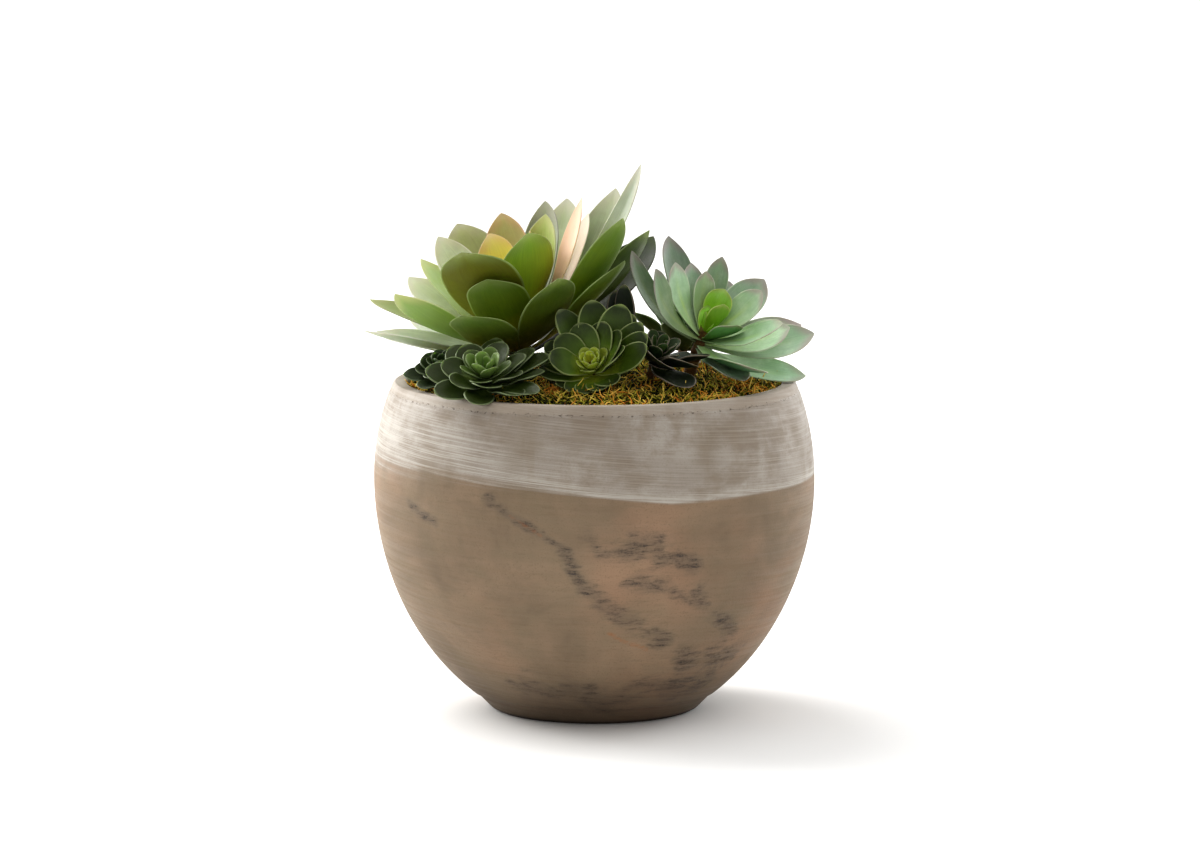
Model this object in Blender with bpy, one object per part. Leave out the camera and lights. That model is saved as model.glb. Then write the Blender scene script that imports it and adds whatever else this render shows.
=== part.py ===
"""A bowl-shaped pot planted with an arrangement of succulent rosettes.

Units are metres, +Z is up, and the origin is the centre of the pot's flat underside.
Azimuths are measured from +X towards +Y, so the front of the arrangement faces -90 degrees.
"""

import math

import bmesh
import bpy
import numpy as np
from mathutils import Matrix, Vector

MM = 0.001
GAP = 0.3 * MM                    # left between pieces that touch on the real object

# Pot: a turned bowl whose outside is two quarter ellipses meeting at the belly
BELLY_RADIUS = 140.1 * MM
BELLY_HEIGHT = 147.4 * MM
BELLY_TO_FOOT = 164.3 * MM        # vertical half axis of the lower ellipse
BELLY_TO_LIP = 150.4 * MM         # vertical half axis of the upper ellipse
RIM_HEIGHT = 209.4 * MM
WALL = 8.5 * MM
FOOT_TOP = 11.0 * MM
FOOT_TOP_RADIUS = 76.6 * MM
FOOT_RADIUS = 65.9 * MM
FOOT_BEVEL = 1.5 * MM
FLOOR_HEIGHT = 16.0 * MM
FLOOR_ROUND = 5.0 * MM            # rounded corner between the inside floor and the wall
LIP_ROUND = 1.5 * MM              # rounded edges of the lip
POT_STEPS = 40
OUTSIDE_STEPS = 11
INSIDE_STEPS = 8

# Filling
WALL_GAP = 1.2 * MM               # room between the wall and what fills the bowl
SOIL_TOP = 190.0 * MM
SOIL_CORNER = 7.0 * MM            # the soil's lower edge follows the rounded floor
SOIL_STEPS = 24
SOIL_RINGS = 6
MOSS_EDGE_TOP = 206.0 * MM
MOSS_CROWN = 9.0 * MM             # how far the moss rises from its edge to the middle
MOSS_ROUND = 3.0 * MM
MOSS_STEPS = 28
MOSS_RINGS = (0.97, 0.75, 0.5, 0.25, 0.0)   # shares of the moss's own radius
SOCKET_DEPTH = 40.0 * MM          # how deep a stem reaches into the soil
STEM_SIDES = 10
STEM_TAPER = 0.9                  # radius left at a stem's top
STEM_CLEAR = 1.0 * MM
CUTTER_TOP = RIM_HEIGHT + 30.0 * MM

# Leaves
LEAF_THICKNESS = 1.3 * MM
EDGE_THINNING = 0.55              # share of the thickness lost at a leaf's edges
TIP_THINNING = 0.7                # share of the thickness left near the tip
NECK_WIDTH = 7.0 * MM             # width of a leaf where it leaves the stem
WIDEST_AT = 0.62                  # share of a leaf's length at which it is widest
NECK_POWER = 1.3                  # how full a leaf's neck is
POINTED, ROUNDED = (2.6, 0.85), (2.2, 0.62)   # how full and how round a leaf's end is
TWIST_POWER = 1.2                 # how late along a leaf its twist comes in
SPOON = 26.0                      # degrees the outer blade bends between midrib and edge
WRAPS_UNTIL, SPOONS_FROM = 0.15, 0.60   # shares of the length between which the bend changes
LEAN_AT_FOOT = 95.0               # lean at which a leaf would leave the foot of its stem
BIG_SEAT = 0.5 * MM               # room between a big rosette's leaves and their stem
SMALL_SEAT = -1.5 * MM            # a small rosette's leaves grow into their stem
GOLDEN_ANGLE = 137.5

# Each rosette: base point (mm), tilt of its axis, azimuth it tilts towards, stem radius (mm),
# rise of the leaf bases along the axis (mm), where its stem stands in the moss (x, y in mm)
ROSETTES = {
    "large": ((-44, 12, 217), 20, 195, 5.0, 30, (-42, 13)),
    "side": ((65, -15, 230), 28, -45, 4.0, 18, (60, -8)),
    "front_left": ((-67, -80, 217), 26, -100, 3.0, 10, (-65, -75)),
    "far_left": ((-93, -42, 216), 24, -120, 3.0, 8, (-90, -39)),
    "centre": ((1, -60, 219), 40, -110, 3.0, 12, (3, -53)),
    "shaded": ((37, -46, 225), 24, -50, 3.0, 10, (34, -43)),
    "back": ((57, 66, 219), 20, 55, 3.5, 12, (54, 62)),
}

# The two big rosettes, ring by ring from the heart outwards. Each ring: lean from the axis,
# length, width (mm), curl (how far a leaf bends up between base and tip) and twist at the tip
# (degrees), then its leaves as turn about the axis and colour.
# Changes: what single leaves, counted through the rings, add to turn, lean, length, width, curl
# and twist where they lean over a neighbour, show their edge or reach for the light.
LARGE_RINGS = (
    (20, 65, 30, 30, 0, ((55, "blush"), (-60, "blush"), (20, "blush"))),
    (35, 85, 40, 22, 0, ((-40, "olive"), (-100, "olive"), (20, "fresh"), (105, "pale"), (130, "pale"))),
    (45, 90, 35, 30, 5, ((135, "fresh"), (-150, "fresh"), (-95, "olive"), (45, "pale"), (10, "pale"),
                         (-15, "blush"))),
    (57, 100, 36, 28, 5, ((140, "pale"), (160, "fresh"), (-105, "olive"), (-60, "olive"), (55, "pale"),
                          (40, "pale"), (0, "pale"), (-20, "olive"))),
    (65, 100, 36, 20, 0, ((-165, "pale"), (170, "pale"), (-35, "olive"), (15, "olive"), (35, "olive"),
                          (95, "pale"), (130, "pale"))),
)
LARGE_CHANGES = {
    1: (0, 0, 10, 5, 0, 5), 2: (0, -10, 0, 0, 0, 0), 3: (-5, 6, 0, -8, 0, -10),
    4: (0, -5, -10, 5, 10, -15), 5: (0, 0, 5, 12, -10, -10), 6: (5, -1, -6, -9, 0, 20),
    7: (0, -1, 3, -2, 0, 0), 8: (0, -7, -5, -10, 0, 0), 9: (0, -3, -5, -8, 0, 10),
    10: (0, 1, 0, 0, 10, 10), 11: (5, -2, -15, 5, -20, -20), 12: (2, -4, 4, -3, 0, 0),
    13: (0, 2, 2, -5, 5, 5), 14: (0, -3, 14, -11, 0, 25), 15: (0, -7, -12, 0, 0, 0),
    16: (0, -1, 0, -5, -15, 0), 17: (-3, -1, -20, 4, 0, -15), 18: (-2, 3, 2, 2, 2, -10),
    19: (0, -2, 16, 0, 0, 5), 20: (0, 3, 30, 0, 10, 10), 21: (0, -5, 38, -21, 3, 35),
    22: (-2, -1, 15, -9, 0, -40), 23: (2, -5, 3, -6, 0, 5), 24: (-5, 0, -8, -2, 0, 0),
    25: (10, 0, -2, -1, 5, -10), 26: (3, 3, 12, -10, 10, -50), 27: (0, 10, 25, 0, 0, 30),
    28: (0, 0, 0, 0, -8, 0), 29: (0, 5, 0, 0, -8, 0),
}
SIDE_RINGS = (
    (15, 28, 18, 30, 0, ((75, "lime"), (-60, "lime"), (-45, "deep"))),
    (32, 45, 21, 28, 0, ((20, "teal"), (125, "teal"), (165, "teal"))),
    (45, 53, 26, 20, 5, ((125, "teal"), (95, "teal"), (55, "teal"), (0, "teal"), (-155, "teal"),
                         (-40, "deep"))),
    (60, 70, 26, 20, 5, ((130, "teal"), (155, "teal"), (5, "teal"), (30, "teal"), (80, "teal"))),
    (75, 65, 27, 20, 0, ((-60, "deep"), (5, "deep"), (-60, "deep"), (75, "teal"))),
)
SIDE_CHANGES = {
    2: (0, -5, -4, -3, 0, 0), 3: (0, 25, 2, 4, 0, -10), 4: (0, 0, 0, 0, 0, 20),
    5: (0, -5, -7, -4, 0, 0), 6: (4, 6, 5, -5, 10, -38), 7: (0, 0, -6, -6, 0, 0),
    8: (1, -9, -2, -10, 8, 0), 9: (0, 7, 5, 0, 5, 0), 10: (-2, 12, 2, -2, 15, 25),
    11: (2, 2, 15, -3, 30, -45), 12: (0, 3, 12, -2, 10, 25), 13: (0, -5, 0, 0, 0, 0),
    14: (4, 1, 0, -8, 40, -15), 15: (0, 5, 0, 0, 15, 20), 16: (0, 13, 0, 2, 0, 0),
    17: (0, 5, -15, 0, -10, -10), 18: (0, -6, 8, 0, 10, -10), 19: (0, 12, 4, 0, 12, 5),
    20: (0, 4, -12, 0, -8, 0), 21: (0, 8, 8, 0, -8, 8),
}

GROWTH_POWER = 0.8                # how fast a spiral's leaves lengthen outwards
CURL_IN, CURL_OUT = 30.0, 14.0    # curl of its inner and outer leaves
LEAST_DRAWN = 11.0                # mm, shorter leaves of a heart are left out

# Small rosettes have a spiral for a heart: leaves in all, first turn, inner and outer lean, inner
# and outer length (mm), width as a share of length. Rings of older leaves stand round it: number
# of leaves, first and last turn, lean, length, width, curl and twist.
SMALL_LEAVES = {
    "front_left": ((13, 50, 8, 62, 9, 22, 0.66), (
        (7, 15, 325, 65, 28, 19, 24, -12), (8, -10, 305, 77, 37, 19, 26, -15),
        (2, -40, 20, 80, 42, 18, 10, -5))),
    "far_left": ((13, 80, 6, 60, 8, 17, 0.75), (
        (5, 27, 313, 64, 18, 15, 22, 0), (6, -5, 295, 76, 25, 15, 22, -5))),
    "centre": ((14, 40, 6, 46, 7, 15, 0.62), (
        (6, -22, 178, 48, 30, 20, 28, -10), (3, 47, 112, 55, 44, 22, 32, 30),
        (5, -150, -60, 68, 27, 16, 24, -5),
        (4, -12, 36, 61, 42, 17, 30, 25), (3, 144, 186, 65, 35, 18, 18, 0))),
    "shaded": ((16, 15, 12, 74, 9, 24, 0.54), (
        (3, -88, -8, 64, 34, 22, 18, -20), (1, -62, -62, 80, 44, 24, 12, 5))),
    "back": ((26, 60, 10, 80, 12, 44, 0.50), ()),
}

COLOURS = {
    "pot": (0.34, 0.29, 0.23), "soil": (0.06, 0.04, 0.03), "moss": (0.36, 0.27, 0.05),
    "stem": (0.35, 0.30, 0.16), "pale": (0.42, 0.52, 0.36), "fresh": (0.33, 0.42, 0.13),
    "blush": (0.60, 0.38, 0.24), "olive": (0.08, 0.12, 0.03), "teal": (0.22, 0.38, 0.25),
    "lime": (0.24, 0.38, 0.06), "deep": (0.07, 0.15, 0.10),
    "front_left": (0.10, 0.20, 0.08), "far_left": (0.05, 0.11, 0.05),
    "centre": (0.18, 0.27, 0.06), "shaded": (0.06, 0.12, 0.07), "back": (0.08, 0.15, 0.06),
}
ROUGHNESS = {"pot": 0.8, "soil": 0.95, "moss": 0.95}
LEAF_ROUGHNESS = 0.45

LARGE_STATIONS = (0.0, 0.2, 0.45, 0.7, 0.92)
LARGE_COLUMNS = (-1.0, -0.5, 0.0, 0.5, 1.0)
SMALL_STATIONS = (0.0, 0.4, 0.85)
SMALL_COLUMNS = (-1.0, 0.0, 1.0)


def clear_scene():
    for thing in list(bpy.data.objects):
        bpy.data.objects.remove(thing)


def material(name, kind):
    """A plain Principled finish in the colour of one kind of piece."""
    finish = bpy.data.materials.new(name)
    finish.use_nodes = True
    shader = finish.node_tree.nodes["Principled BSDF"]
    shader.inputs["Base Color"].default_value = (*COLOURS[kind], 1.0)
    shader.inputs["Roughness"].default_value = ROUGHNESS.get(kind, LEAF_ROUGHNESS)
    shader.inputs["Metallic"].default_value = 0.0
    return finish


def add_object(name, mesh, kind):
    thing = bpy.data.objects.new(name, mesh)
    bpy.context.scene.collection.objects.link(thing)
    mesh.materials.append(material(name, kind))
    return thing


# ---------------------------------------------------------------- turned pieces

def turned(name, profile, steps, kind):
    """Spin a profile of (radius, height) points, which starts and ends on the axis."""
    bm = bmesh.new()
    line = [bm.verts.new((radius, 0.0, height)) for radius, height in profile]
    edges = [bm.edges.new(pair) for pair in zip(line, line[1:])]
    bmesh.ops.spin(bm, geom=line + edges, axis=(0, 0, 1), cent=(0, 0, 0),
                   steps=steps, angle=math.tau, use_merge=True)
    bmesh.ops.remove_doubles(bm, verts=bm.verts, dist=0.01 * MM)
    bmesh.ops.recalc_face_normals(bm, faces=bm.faces)
    mesh = bpy.data.meshes.new(name)
    bm.to_mesh(mesh)
    bm.free()
    mesh.shade_smooth()
    return add_object(name, mesh, kind)


def bowl_radius(height, inset=0.0):
    """Radius of the bowl's outside at a height, or of its wall set in by inset."""
    drop = height - BELLY_HEIGHT
    half_axis = (BELLY_TO_LIP if drop > 0 else BELLY_TO_FOOT) - inset
    share = min(abs(drop) / half_axis, 1.0)
    return (BELLY_RADIUS - inset) * math.sqrt(1.0 - share * share)


def make_pot():
    """Foot, outside, lip, inside and inside floor, in that order along one profile."""
    shoulder = RIM_HEIGHT - LIP_ROUND
    outside = [(bowl_radius(z), z) for z in np.linspace(FOOT_TOP, shoulder, OUTSIDE_STEPS)]
    inside_heights = np.linspace(FLOOR_HEIGHT + FLOOR_ROUND, shoulder, INSIDE_STEPS)
    inside = [(bowl_radius(z, WALL), z) for z in inside_heights]
    lip = bowl_radius(RIM_HEIGHT)
    profile = [(0.0, 0.0), (FOOT_RADIUS - FOOT_BEVEL, 0.0), (FOOT_RADIUS, FOOT_BEVEL),
               (FOOT_TOP_RADIUS, FOOT_TOP)]
    profile += outside
    profile += [(lip - LIP_ROUND, RIM_HEIGHT), (lip - WALL + LIP_ROUND, RIM_HEIGHT)]
    profile += inside[::-1]
    profile += [(inside[0][0] - FLOOR_ROUND, FLOOR_HEIGHT), (0.0, FLOOR_HEIGHT)]
    return turned("pot", profile, POT_STEPS, "pot")


def make_soil():
    heights = np.linspace(FLOOR_HEIGHT + FLOOR_ROUND, SOIL_TOP, SOIL_RINGS)
    side = [(bowl_radius(z, WALL + WALL_GAP), z) for z in heights]
    profile = [(0.0, FLOOR_HEIGHT + GAP), (side[0][0] - SOIL_CORNER, FLOOR_HEIGHT + GAP)]
    profile += side + [(0.0, SOIL_TOP)]
    return turned("soil", profile, SOIL_STEPS, "soil")


def moss_height(radius):
    edge = bowl_radius(MOSS_EDGE_TOP, WALL)
    return MOSS_EDGE_TOP + MOSS_CROWN * (1.0 - (radius / edge) ** 2)


def make_moss():
    bottom = SOIL_TOP + GAP
    low = bowl_radius(bottom, WALL + WALL_GAP)
    edge = bowl_radius(MOSS_EDGE_TOP, WALL + WALL_GAP)
    crown = [(share * edge, moss_height(share * edge)) for share in MOSS_RINGS]
    profile = [(0.0, bottom), (low, bottom), (edge, MOSS_EDGE_TOP - MOSS_ROUND)] + crown
    return turned("moss", profile, MOSS_STEPS, "moss")


# ---------------------------------------------------------------- rosettes and leaves

def rosette_frame(name):
    """Matrix from a rosette's own frame, with its axis along +Z, to the world."""
    base, tilt, towards = ROSETTES[name][:3]
    azimuth = math.radians(towards)
    across = Vector((-math.sin(azimuth), math.cos(azimuth), 0.0))
    turn = Matrix.Rotation(math.radians(tilt), 4, across)
    return Matrix.Translation(Vector(base) * MM) @ turn


def half_width(share, width, neck, end):
    """Half the width along a leaf: a narrow neck, a broad blade and a rounded, pointed end."""
    rising = np.sin(np.clip(share / WIDEST_AT, 0, 1) * math.pi / 2)
    falling = np.clip((share - WIDEST_AT) / (1 - WIDEST_AT), 0, 1)
    blade = (neck + (width - neck) * rising ** NECK_POWER) / 2
    return blade * (1 - falling ** end[0]) ** end[1]


def leaf_surface(row, stem_radius, rise, shares, columns, seat, end):
    """Top and bottom points of one leaf in its rosette's frame.

    The midrib is an arc whose chord has the leaf's length and lean. The blade bends across the
    midrib, round the rosette's axis near the base and into a shallow spoon further out, so leaves
    with different leans lie inside each other like nested cones.
    """
    turn, lean, length, width, curl, twist = row
    length, width = length * MM, width * MM
    lean, curl = math.radians(lean), math.radians(max(curl, 0.1))
    neck = min(NECK_WIDTH, 0.6 * width)
    share, side = np.meshgrid(shares, columns, indexing="ij")

    arc = length * (curl / 2) / math.sin(curl / 2)
    along = arc / curl * (math.sin(curl / 2) - np.sin(curl * (0.5 - share)))
    bulge = arc / curl * (np.cos(curl * (0.5 - share)) - math.cos(curl / 2))
    heading = lean + curl * (0.5 - share)
    base_heading = lean + curl / 2
    start = stem_radius * MM + seat + 0.5 * LEAF_THICKNESS * abs(math.cos(base_heading))
    height = rise * MM * (1 - math.degrees(lean) / LEAN_AT_FOOT)
    radial = start + along * math.sin(lean) + bulge * math.cos(lean)
    upward = height + along * math.cos(lean) - bulge * math.sin(lean)

    half = half_width(share, width, neck, end)
    own = np.clip((share - WRAPS_UNTIL) / (SPOONS_FROM - WRAPS_UNTIL), 0, 1)
    spoon = math.radians(SPOON) / (width / 2)
    bend = np.cos(heading) / radial * (1 - own) + spoon * own
    angle = bend * half * side
    across = np.sin(angle) / bend
    lift = (1 - np.cos(angle)) / bend
    roll = math.radians(twist) * np.clip(share / WIDEST_AT, 0, 1) ** TWIST_POWER

    thick = LEAF_THICKNESS * (1 - EDGE_THINNING * side ** 2)
    thick = thick * np.where(share > 0.9, TIP_THINNING, 1.0)
    surfaces = []
    for sign in (0.5, -0.5):
        offset_n = lift + sign * thick * np.cos(angle)
        offset_t = across - sign * thick * np.sin(angle)
        normal = offset_n * np.cos(roll) + offset_t * np.sin(roll)
        tangent = offset_t * np.cos(roll) - offset_n * np.sin(roll)
        r = radial - normal * np.cos(heading)
        z = upward + normal * np.sin(heading)
        azimuth = math.radians(turn)
        x = r * math.cos(azimuth) - tangent * math.sin(azimuth)
        y = r * math.sin(azimuth) + tangent * math.cos(azimuth)
        surfaces.append(np.stack([x, y, z], axis=-1))
    return surfaces


def leaf_mesh(name, row, rosette, shares, columns, seat, end):
    """Closed leaf: rings round the blade, a cap at the neck and a fan to the tip."""
    stem_radius, rise = ROSETTES[rosette][3:5]
    top, bottom = leaf_surface(row, stem_radius, rise, list(shares) + [1.0], columns, seat,
                               end)
    frame = rosette_frame(rosette)
    bm = bmesh.new()
    rings = []
    for station in range(len(shares)):
        loop = [*top[station], *bottom[station][::-1]]
        rings.append([bm.verts.new(frame @ Vector(point)) for point in loop])
    middle = len(columns) // 2
    tip = bm.verts.new(frame @ Vector((top[-1][middle] + bottom[-1][middle]) / 2))
    count = len(rings[0])
    for near, far in zip(rings, rings[1:]):
        for i in range(count):
            j = (i + 1) % count
            bm.faces.new((near[i], near[j], far[j], far[i]))
    for i in range(len(columns) - 1):
        bm.faces.new((rings[0][i + 1], rings[0][i], rings[0][-1 - i], rings[0][-2 - i]))
    for i in range(count):
        bm.faces.new((rings[-1][i], rings[-1][(i + 1) % count], tip))
    bmesh.ops.recalc_face_normals(bm, faces=bm.faces)
    mesh = bpy.data.meshes.new(name)
    bm.to_mesh(mesh)
    bm.free()
    mesh.shade_smooth()
    return mesh


def ring_rows(rings, changes):
    """Leaf rows of a big rosette: each ring's own numbers, plus what a leaf departs by."""
    rows = []
    for *shape, leaves in rings:
        for turn, kind in leaves:
            change = changes.get(len(rows) + 1, (0,) * 6)
            rows.append((*[value + extra for value, extra in zip((turn, *shape), change)], kind))
    return rows


def spiral_rows(name):
    """Leaf rows of a small rosette's heart, on the golden-angle spiral, short ones left out."""
    count, first, lean_in, lean_out, length_in, length_out, ratio = SMALL_LEAVES[name][0]
    rows = []
    for index in range(count):
        share = (index + 0.5) / count
        lean = lean_in + (lean_out - lean_in) * share
        length = length_in + (length_out - length_in) * share ** GROWTH_POWER
        curl = CURL_IN + (CURL_OUT - CURL_IN) * share
        rows.append((first + index * GOLDEN_ANGLE, lean, length, ratio * length, curl, 0))
    return [row for row in rows if row[2] >= LEAST_DRAWN]


def older_rows(name):
    """Leaf rows of the rings of older leaves round a small rosette's heart."""
    rows = []
    for count, first, last, *shape in SMALL_LEAVES[name][1]:
        rows += [(turn, *shape) for turn in np.linspace(first, last, count)]
    return rows


# ---------------------------------------------------------------- stems

def stem_path(rosette):
    """Centres, radii and directions of the rings along a stem, from its foot upwards."""
    _, _, _, radius, rise, (foot_x, foot_y) = ROSETTES[rosette]
    frame = rosette_frame(rosette)
    ground = moss_height(math.hypot(foot_x, foot_y) * MM) + STEM_CLEAR
    up, axis = Vector((0, 0, 1)), frame.to_3x3() @ Vector((0, 0, 1))
    return (
        (Vector((foot_x * MM, foot_y * MM, SOIL_TOP - SOCKET_DEPTH + STEM_CLEAR)), radius, up),
        (Vector((foot_x * MM, foot_y * MM, ground)), radius, up),
        (frame @ Vector((0, 0, -2 * STEM_CLEAR)), radius, axis),
        (frame @ Vector((0, 0, rise * MM)), STEM_TAPER * radius, axis),
    )


def stem_mesh(name, rosette):
    """Tube from the soil, up through the moss, then bending into the rosette's own axis."""
    bm = bmesh.new()
    rings = []
    for centre, radius, direction in stem_path(rosette):
        tilt = Vector((0, 0, 1)).rotation_difference(direction).to_matrix()
        angles = [math.tau * side / STEM_SIDES for side in range(STEM_SIDES)]
        spokes = [tilt @ Vector((math.cos(angle), math.sin(angle), 0)) for angle in angles]
        rings.append([bm.verts.new(centre + radius * MM * spoke) for spoke in spokes])
    for near, far in zip(rings, rings[1:]):
        for i in range(STEM_SIDES):
            j = (i + 1) % STEM_SIDES
            bm.faces.new((near[i], near[j], far[j], far[i]))
    bm.faces.new(rings[0][::-1])
    bm.faces.new(rings[-1])
    bmesh.ops.recalc_face_normals(bm, faces=bm.faces)
    mesh = bpy.data.meshes.new(name)
    bm.to_mesh(mesh)
    bm.free()
    return mesh


def socket_cutter(rosette):
    """Round cutter for the hole that a stem makes in the moss and the soil."""
    radius, (foot_x, foot_y) = ROSETTES[rosette][3], ROSETTES[rosette][5]
    size = (radius * MM + GAP) / math.cos(math.pi / STEM_SIDES)
    low, high = SOIL_TOP - SOCKET_DEPTH, CUTTER_TOP
    bm = bmesh.new()
    place = Matrix.Translation((foot_x * MM, foot_y * MM, (low + high) / 2))
    bmesh.ops.create_cone(bm, cap_ends=True, segments=STEM_SIDES, radius1=size, radius2=size,
                          depth=high - low, matrix=place)
    mesh = bpy.data.meshes.new("cutter")
    bm.to_mesh(mesh)
    bm.free()
    return mesh


def keep_largest_shell(mesh):
    """Drop the empty slivers that an exact union can leave beside the body."""
    bm = bmesh.new()
    bm.from_mesh(mesh)
    left, shells = set(bm.verts), []
    while left:
        shell, front = set(), [left.pop()]
        while front:
            vert = front.pop()
            shell.add(vert)
            near = {edge.other_vert(vert) for edge in vert.link_edges} & left
            left -= near
            front += near
        shells.append(shell)
    body = max(shells, key=len)
    bmesh.ops.delete(bm, geom=[vert for vert in bm.verts if vert not in body], context="VERTS")
    bm.to_mesh(mesh)
    bm.free()


def combine(target, meshes, operation):
    """Union meshes with the target, or cut them from it, and keep the result as its mesh."""
    group = bpy.data.collections.new("operands")
    for mesh in meshes:
        group.objects.link(bpy.data.objects.new("operand", mesh))
    bpy.context.scene.collection.children.link(group)
    cut = target.modifiers.new("combine", "BOOLEAN")
    cut.operation = operation
    cut.solver = "EXACT"
    cut.operand_type = "COLLECTION"
    cut.collection = group
    bpy.context.view_layer.update()
    evaluated = target.evaluated_get(bpy.context.evaluated_depsgraph_get())
    result = bpy.data.meshes.new_from_object(evaluated)
    target.modifiers.remove(cut)
    keep_largest_shell(result)
    target.data = result
    for operand in list(group.objects):
        bpy.data.objects.remove(operand)
    bpy.data.collections.remove(group)


# ---------------------------------------------------------------- assembly

def make_big_rosette(rosette, rows):
    add_object(f"{rosette}_stem", stem_mesh(f"{rosette}_stem", rosette), "stem")
    for number, row in enumerate(rows, 1):
        name = f"{rosette}_leaf_{number:02d}"
        mesh = leaf_mesh(name, row[:6], rosette, LARGE_STATIONS, LARGE_COLUMNS, BIG_SEAT, POINTED)
        add_object(name, mesh, row[6])


def make_small_rosette(rosette):
    """One solid: the stem with the leaves of its heart and its rings grown onto it."""
    plant = add_object(f"{rosette}_rosette", stem_mesh(rosette, rosette), rosette)
    leaves = []
    for row in spiral_rows(rosette) + older_rows(rosette):
        leaves.append(leaf_mesh("leaf", row, rosette, SMALL_STATIONS, SMALL_COLUMNS, SMALL_SEAT, ROUNDED))
    combine(plant, leaves, "UNION")


def main():
    clear_scene()
    make_pot()
    soil, moss = make_soil(), make_moss()
    make_big_rosette("large", ring_rows(LARGE_RINGS, LARGE_CHANGES))
    make_big_rosette("side", ring_rows(SIDE_RINGS, SIDE_CHANGES))
    for rosette in SMALL_LEAVES:
        make_small_rosette(rosette)
    for filling in (soil, moss):
        combine(filling, [socket_cutter(rosette) for rosette in ROSETTES], "DIFFERENCE")


main()
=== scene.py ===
# %% [markdown]
# # A potted succulent arrangement
# A round-bellied pot holds potting mix, a cover of curly moss and seven rosettes of succulent
# leaves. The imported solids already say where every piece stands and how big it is. This lesson
# gives each piece its visible skin and its finish, and leaves the solids where they are.

# %% Load the fixed frame
import math

import bpy
import numpy as np
from mathutils import Matrix, Vector


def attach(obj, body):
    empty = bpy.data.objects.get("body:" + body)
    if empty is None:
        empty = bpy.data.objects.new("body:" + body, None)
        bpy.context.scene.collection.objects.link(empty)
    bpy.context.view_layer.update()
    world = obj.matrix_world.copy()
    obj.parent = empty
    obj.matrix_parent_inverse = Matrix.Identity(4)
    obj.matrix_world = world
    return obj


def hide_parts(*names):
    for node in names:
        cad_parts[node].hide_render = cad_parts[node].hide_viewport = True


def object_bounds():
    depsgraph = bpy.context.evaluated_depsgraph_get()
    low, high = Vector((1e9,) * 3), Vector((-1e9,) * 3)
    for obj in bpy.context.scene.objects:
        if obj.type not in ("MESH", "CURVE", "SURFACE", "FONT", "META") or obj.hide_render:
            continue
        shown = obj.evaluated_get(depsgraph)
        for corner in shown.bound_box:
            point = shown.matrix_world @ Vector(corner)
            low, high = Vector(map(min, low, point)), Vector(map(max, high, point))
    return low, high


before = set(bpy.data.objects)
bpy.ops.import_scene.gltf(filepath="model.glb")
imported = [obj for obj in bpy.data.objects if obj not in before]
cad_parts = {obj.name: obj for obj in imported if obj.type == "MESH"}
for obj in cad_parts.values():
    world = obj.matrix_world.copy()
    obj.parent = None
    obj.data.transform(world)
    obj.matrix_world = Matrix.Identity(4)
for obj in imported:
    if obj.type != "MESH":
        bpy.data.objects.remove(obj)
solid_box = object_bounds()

MM = 0.001
solid_size = [round(v / MM) for v in solid_box[1] - solid_box[0]]
print("solids:", len(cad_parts), "box in mm:", solid_size)

# %% [markdown]
# ## Measures of the pot
# A thrown bowl like this one is described well by two quarter ellipses that meet at the belly,
# the widest ring. The numbers are those of the solids, so the skin fits over them exactly.

# %% Measures of the pot
BELLY_RADIUS, BELLY_HEIGHT = 140.1 * MM, 147.4 * MM
BELLY_TO_FOOT, BELLY_TO_LIP = 164.3 * MM, 150.4 * MM
RIM_HEIGHT, WALL = 209.4 * MM, 8.5 * MM
FOOT_TOP, FOOT_TOP_RADIUS, FOOT_RADIUS = 11.0 * MM, 76.6 * MM, 65.9 * MM
FLOOR_HEIGHT = 16.0 * MM
LIP_BAND = 5.7 * MM
MOSS_EDGE_TOP, MOSS_CROWN = 206.0 * MM, 9.0 * MM


def bowl_radius(height, inset=0.0):
    """Radius of the bowl at each height: R * sqrt(1 - (drop / half axis)^2) on either ellipse."""
    drop = np.asarray(height, float) - BELLY_HEIGHT
    half_axis = np.where(drop > 0, BELLY_TO_LIP, BELLY_TO_FOOT) - inset
    share = np.clip(np.abs(drop) / half_axis, 0, 1)
    return (BELLY_RADIUS - inset) * np.sqrt(1 - share ** 2)


print("mouth radius in mm:", round(float(bowl_radius(RIM_HEIGHT)) / MM, 1))

# %% [markdown]
# ## From whole arrays to a mesh
# Every new piece is a sheet of points on a grid whose columns close into rings, like a tube.
# The points are computed at once with numpy. These helpers turn such a grid into faces, close
# its two ends, and put the result on the fixed frame. A closed skin has a volume above zero
# when its faces point outwards, and that sum tells whether to turn them round.

# %% Grids, ends and pieces
def ring_quads(rows, columns, start=0):
    """Quads between neighbouring rings: (i, j), (i, j+1), (i+1, j+1), (i+1, j), with j round."""
    i, j = np.meshgrid(np.arange(rows - 1), np.arange(columns), indexing="ij")
    k = (j + 1) % columns
    corners = [i * columns + j, i * columns + k, (i + 1) * columns + k, (i + 1) * columns + j]
    return np.stack(corners, -1).reshape(-1, 4) + start


def end_fans(rows, columns, start=0):
    """Triangles that close both ends; the two middle points follow the grid's own points."""
    ring = np.arange(columns)
    after = (ring + 1) % columns
    first, last = rows * columns, rows * columns + 1
    far = (rows - 1) * columns
    near_end = np.stack([after, ring, np.full(columns, first)], -1)
    far_end = np.stack([far + ring, far + after, np.full(columns, last)], -1)
    return np.concatenate([near_end, far_end]) + start


def volume(points, quads, triangles):
    """Signed volume: a sixth of the sum of a . (b x c) over all triangles."""
    parts = np.concatenate([quads[:, [0, 1, 2]], quads[:, [0, 2, 3]], triangles])
    a, b, c = points[parts[:, 0]], points[parts[:, 1]], points[parts[:, 2]]
    return float(np.einsum("ij,ij->", a, np.cross(b, c))) / 6


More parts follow.
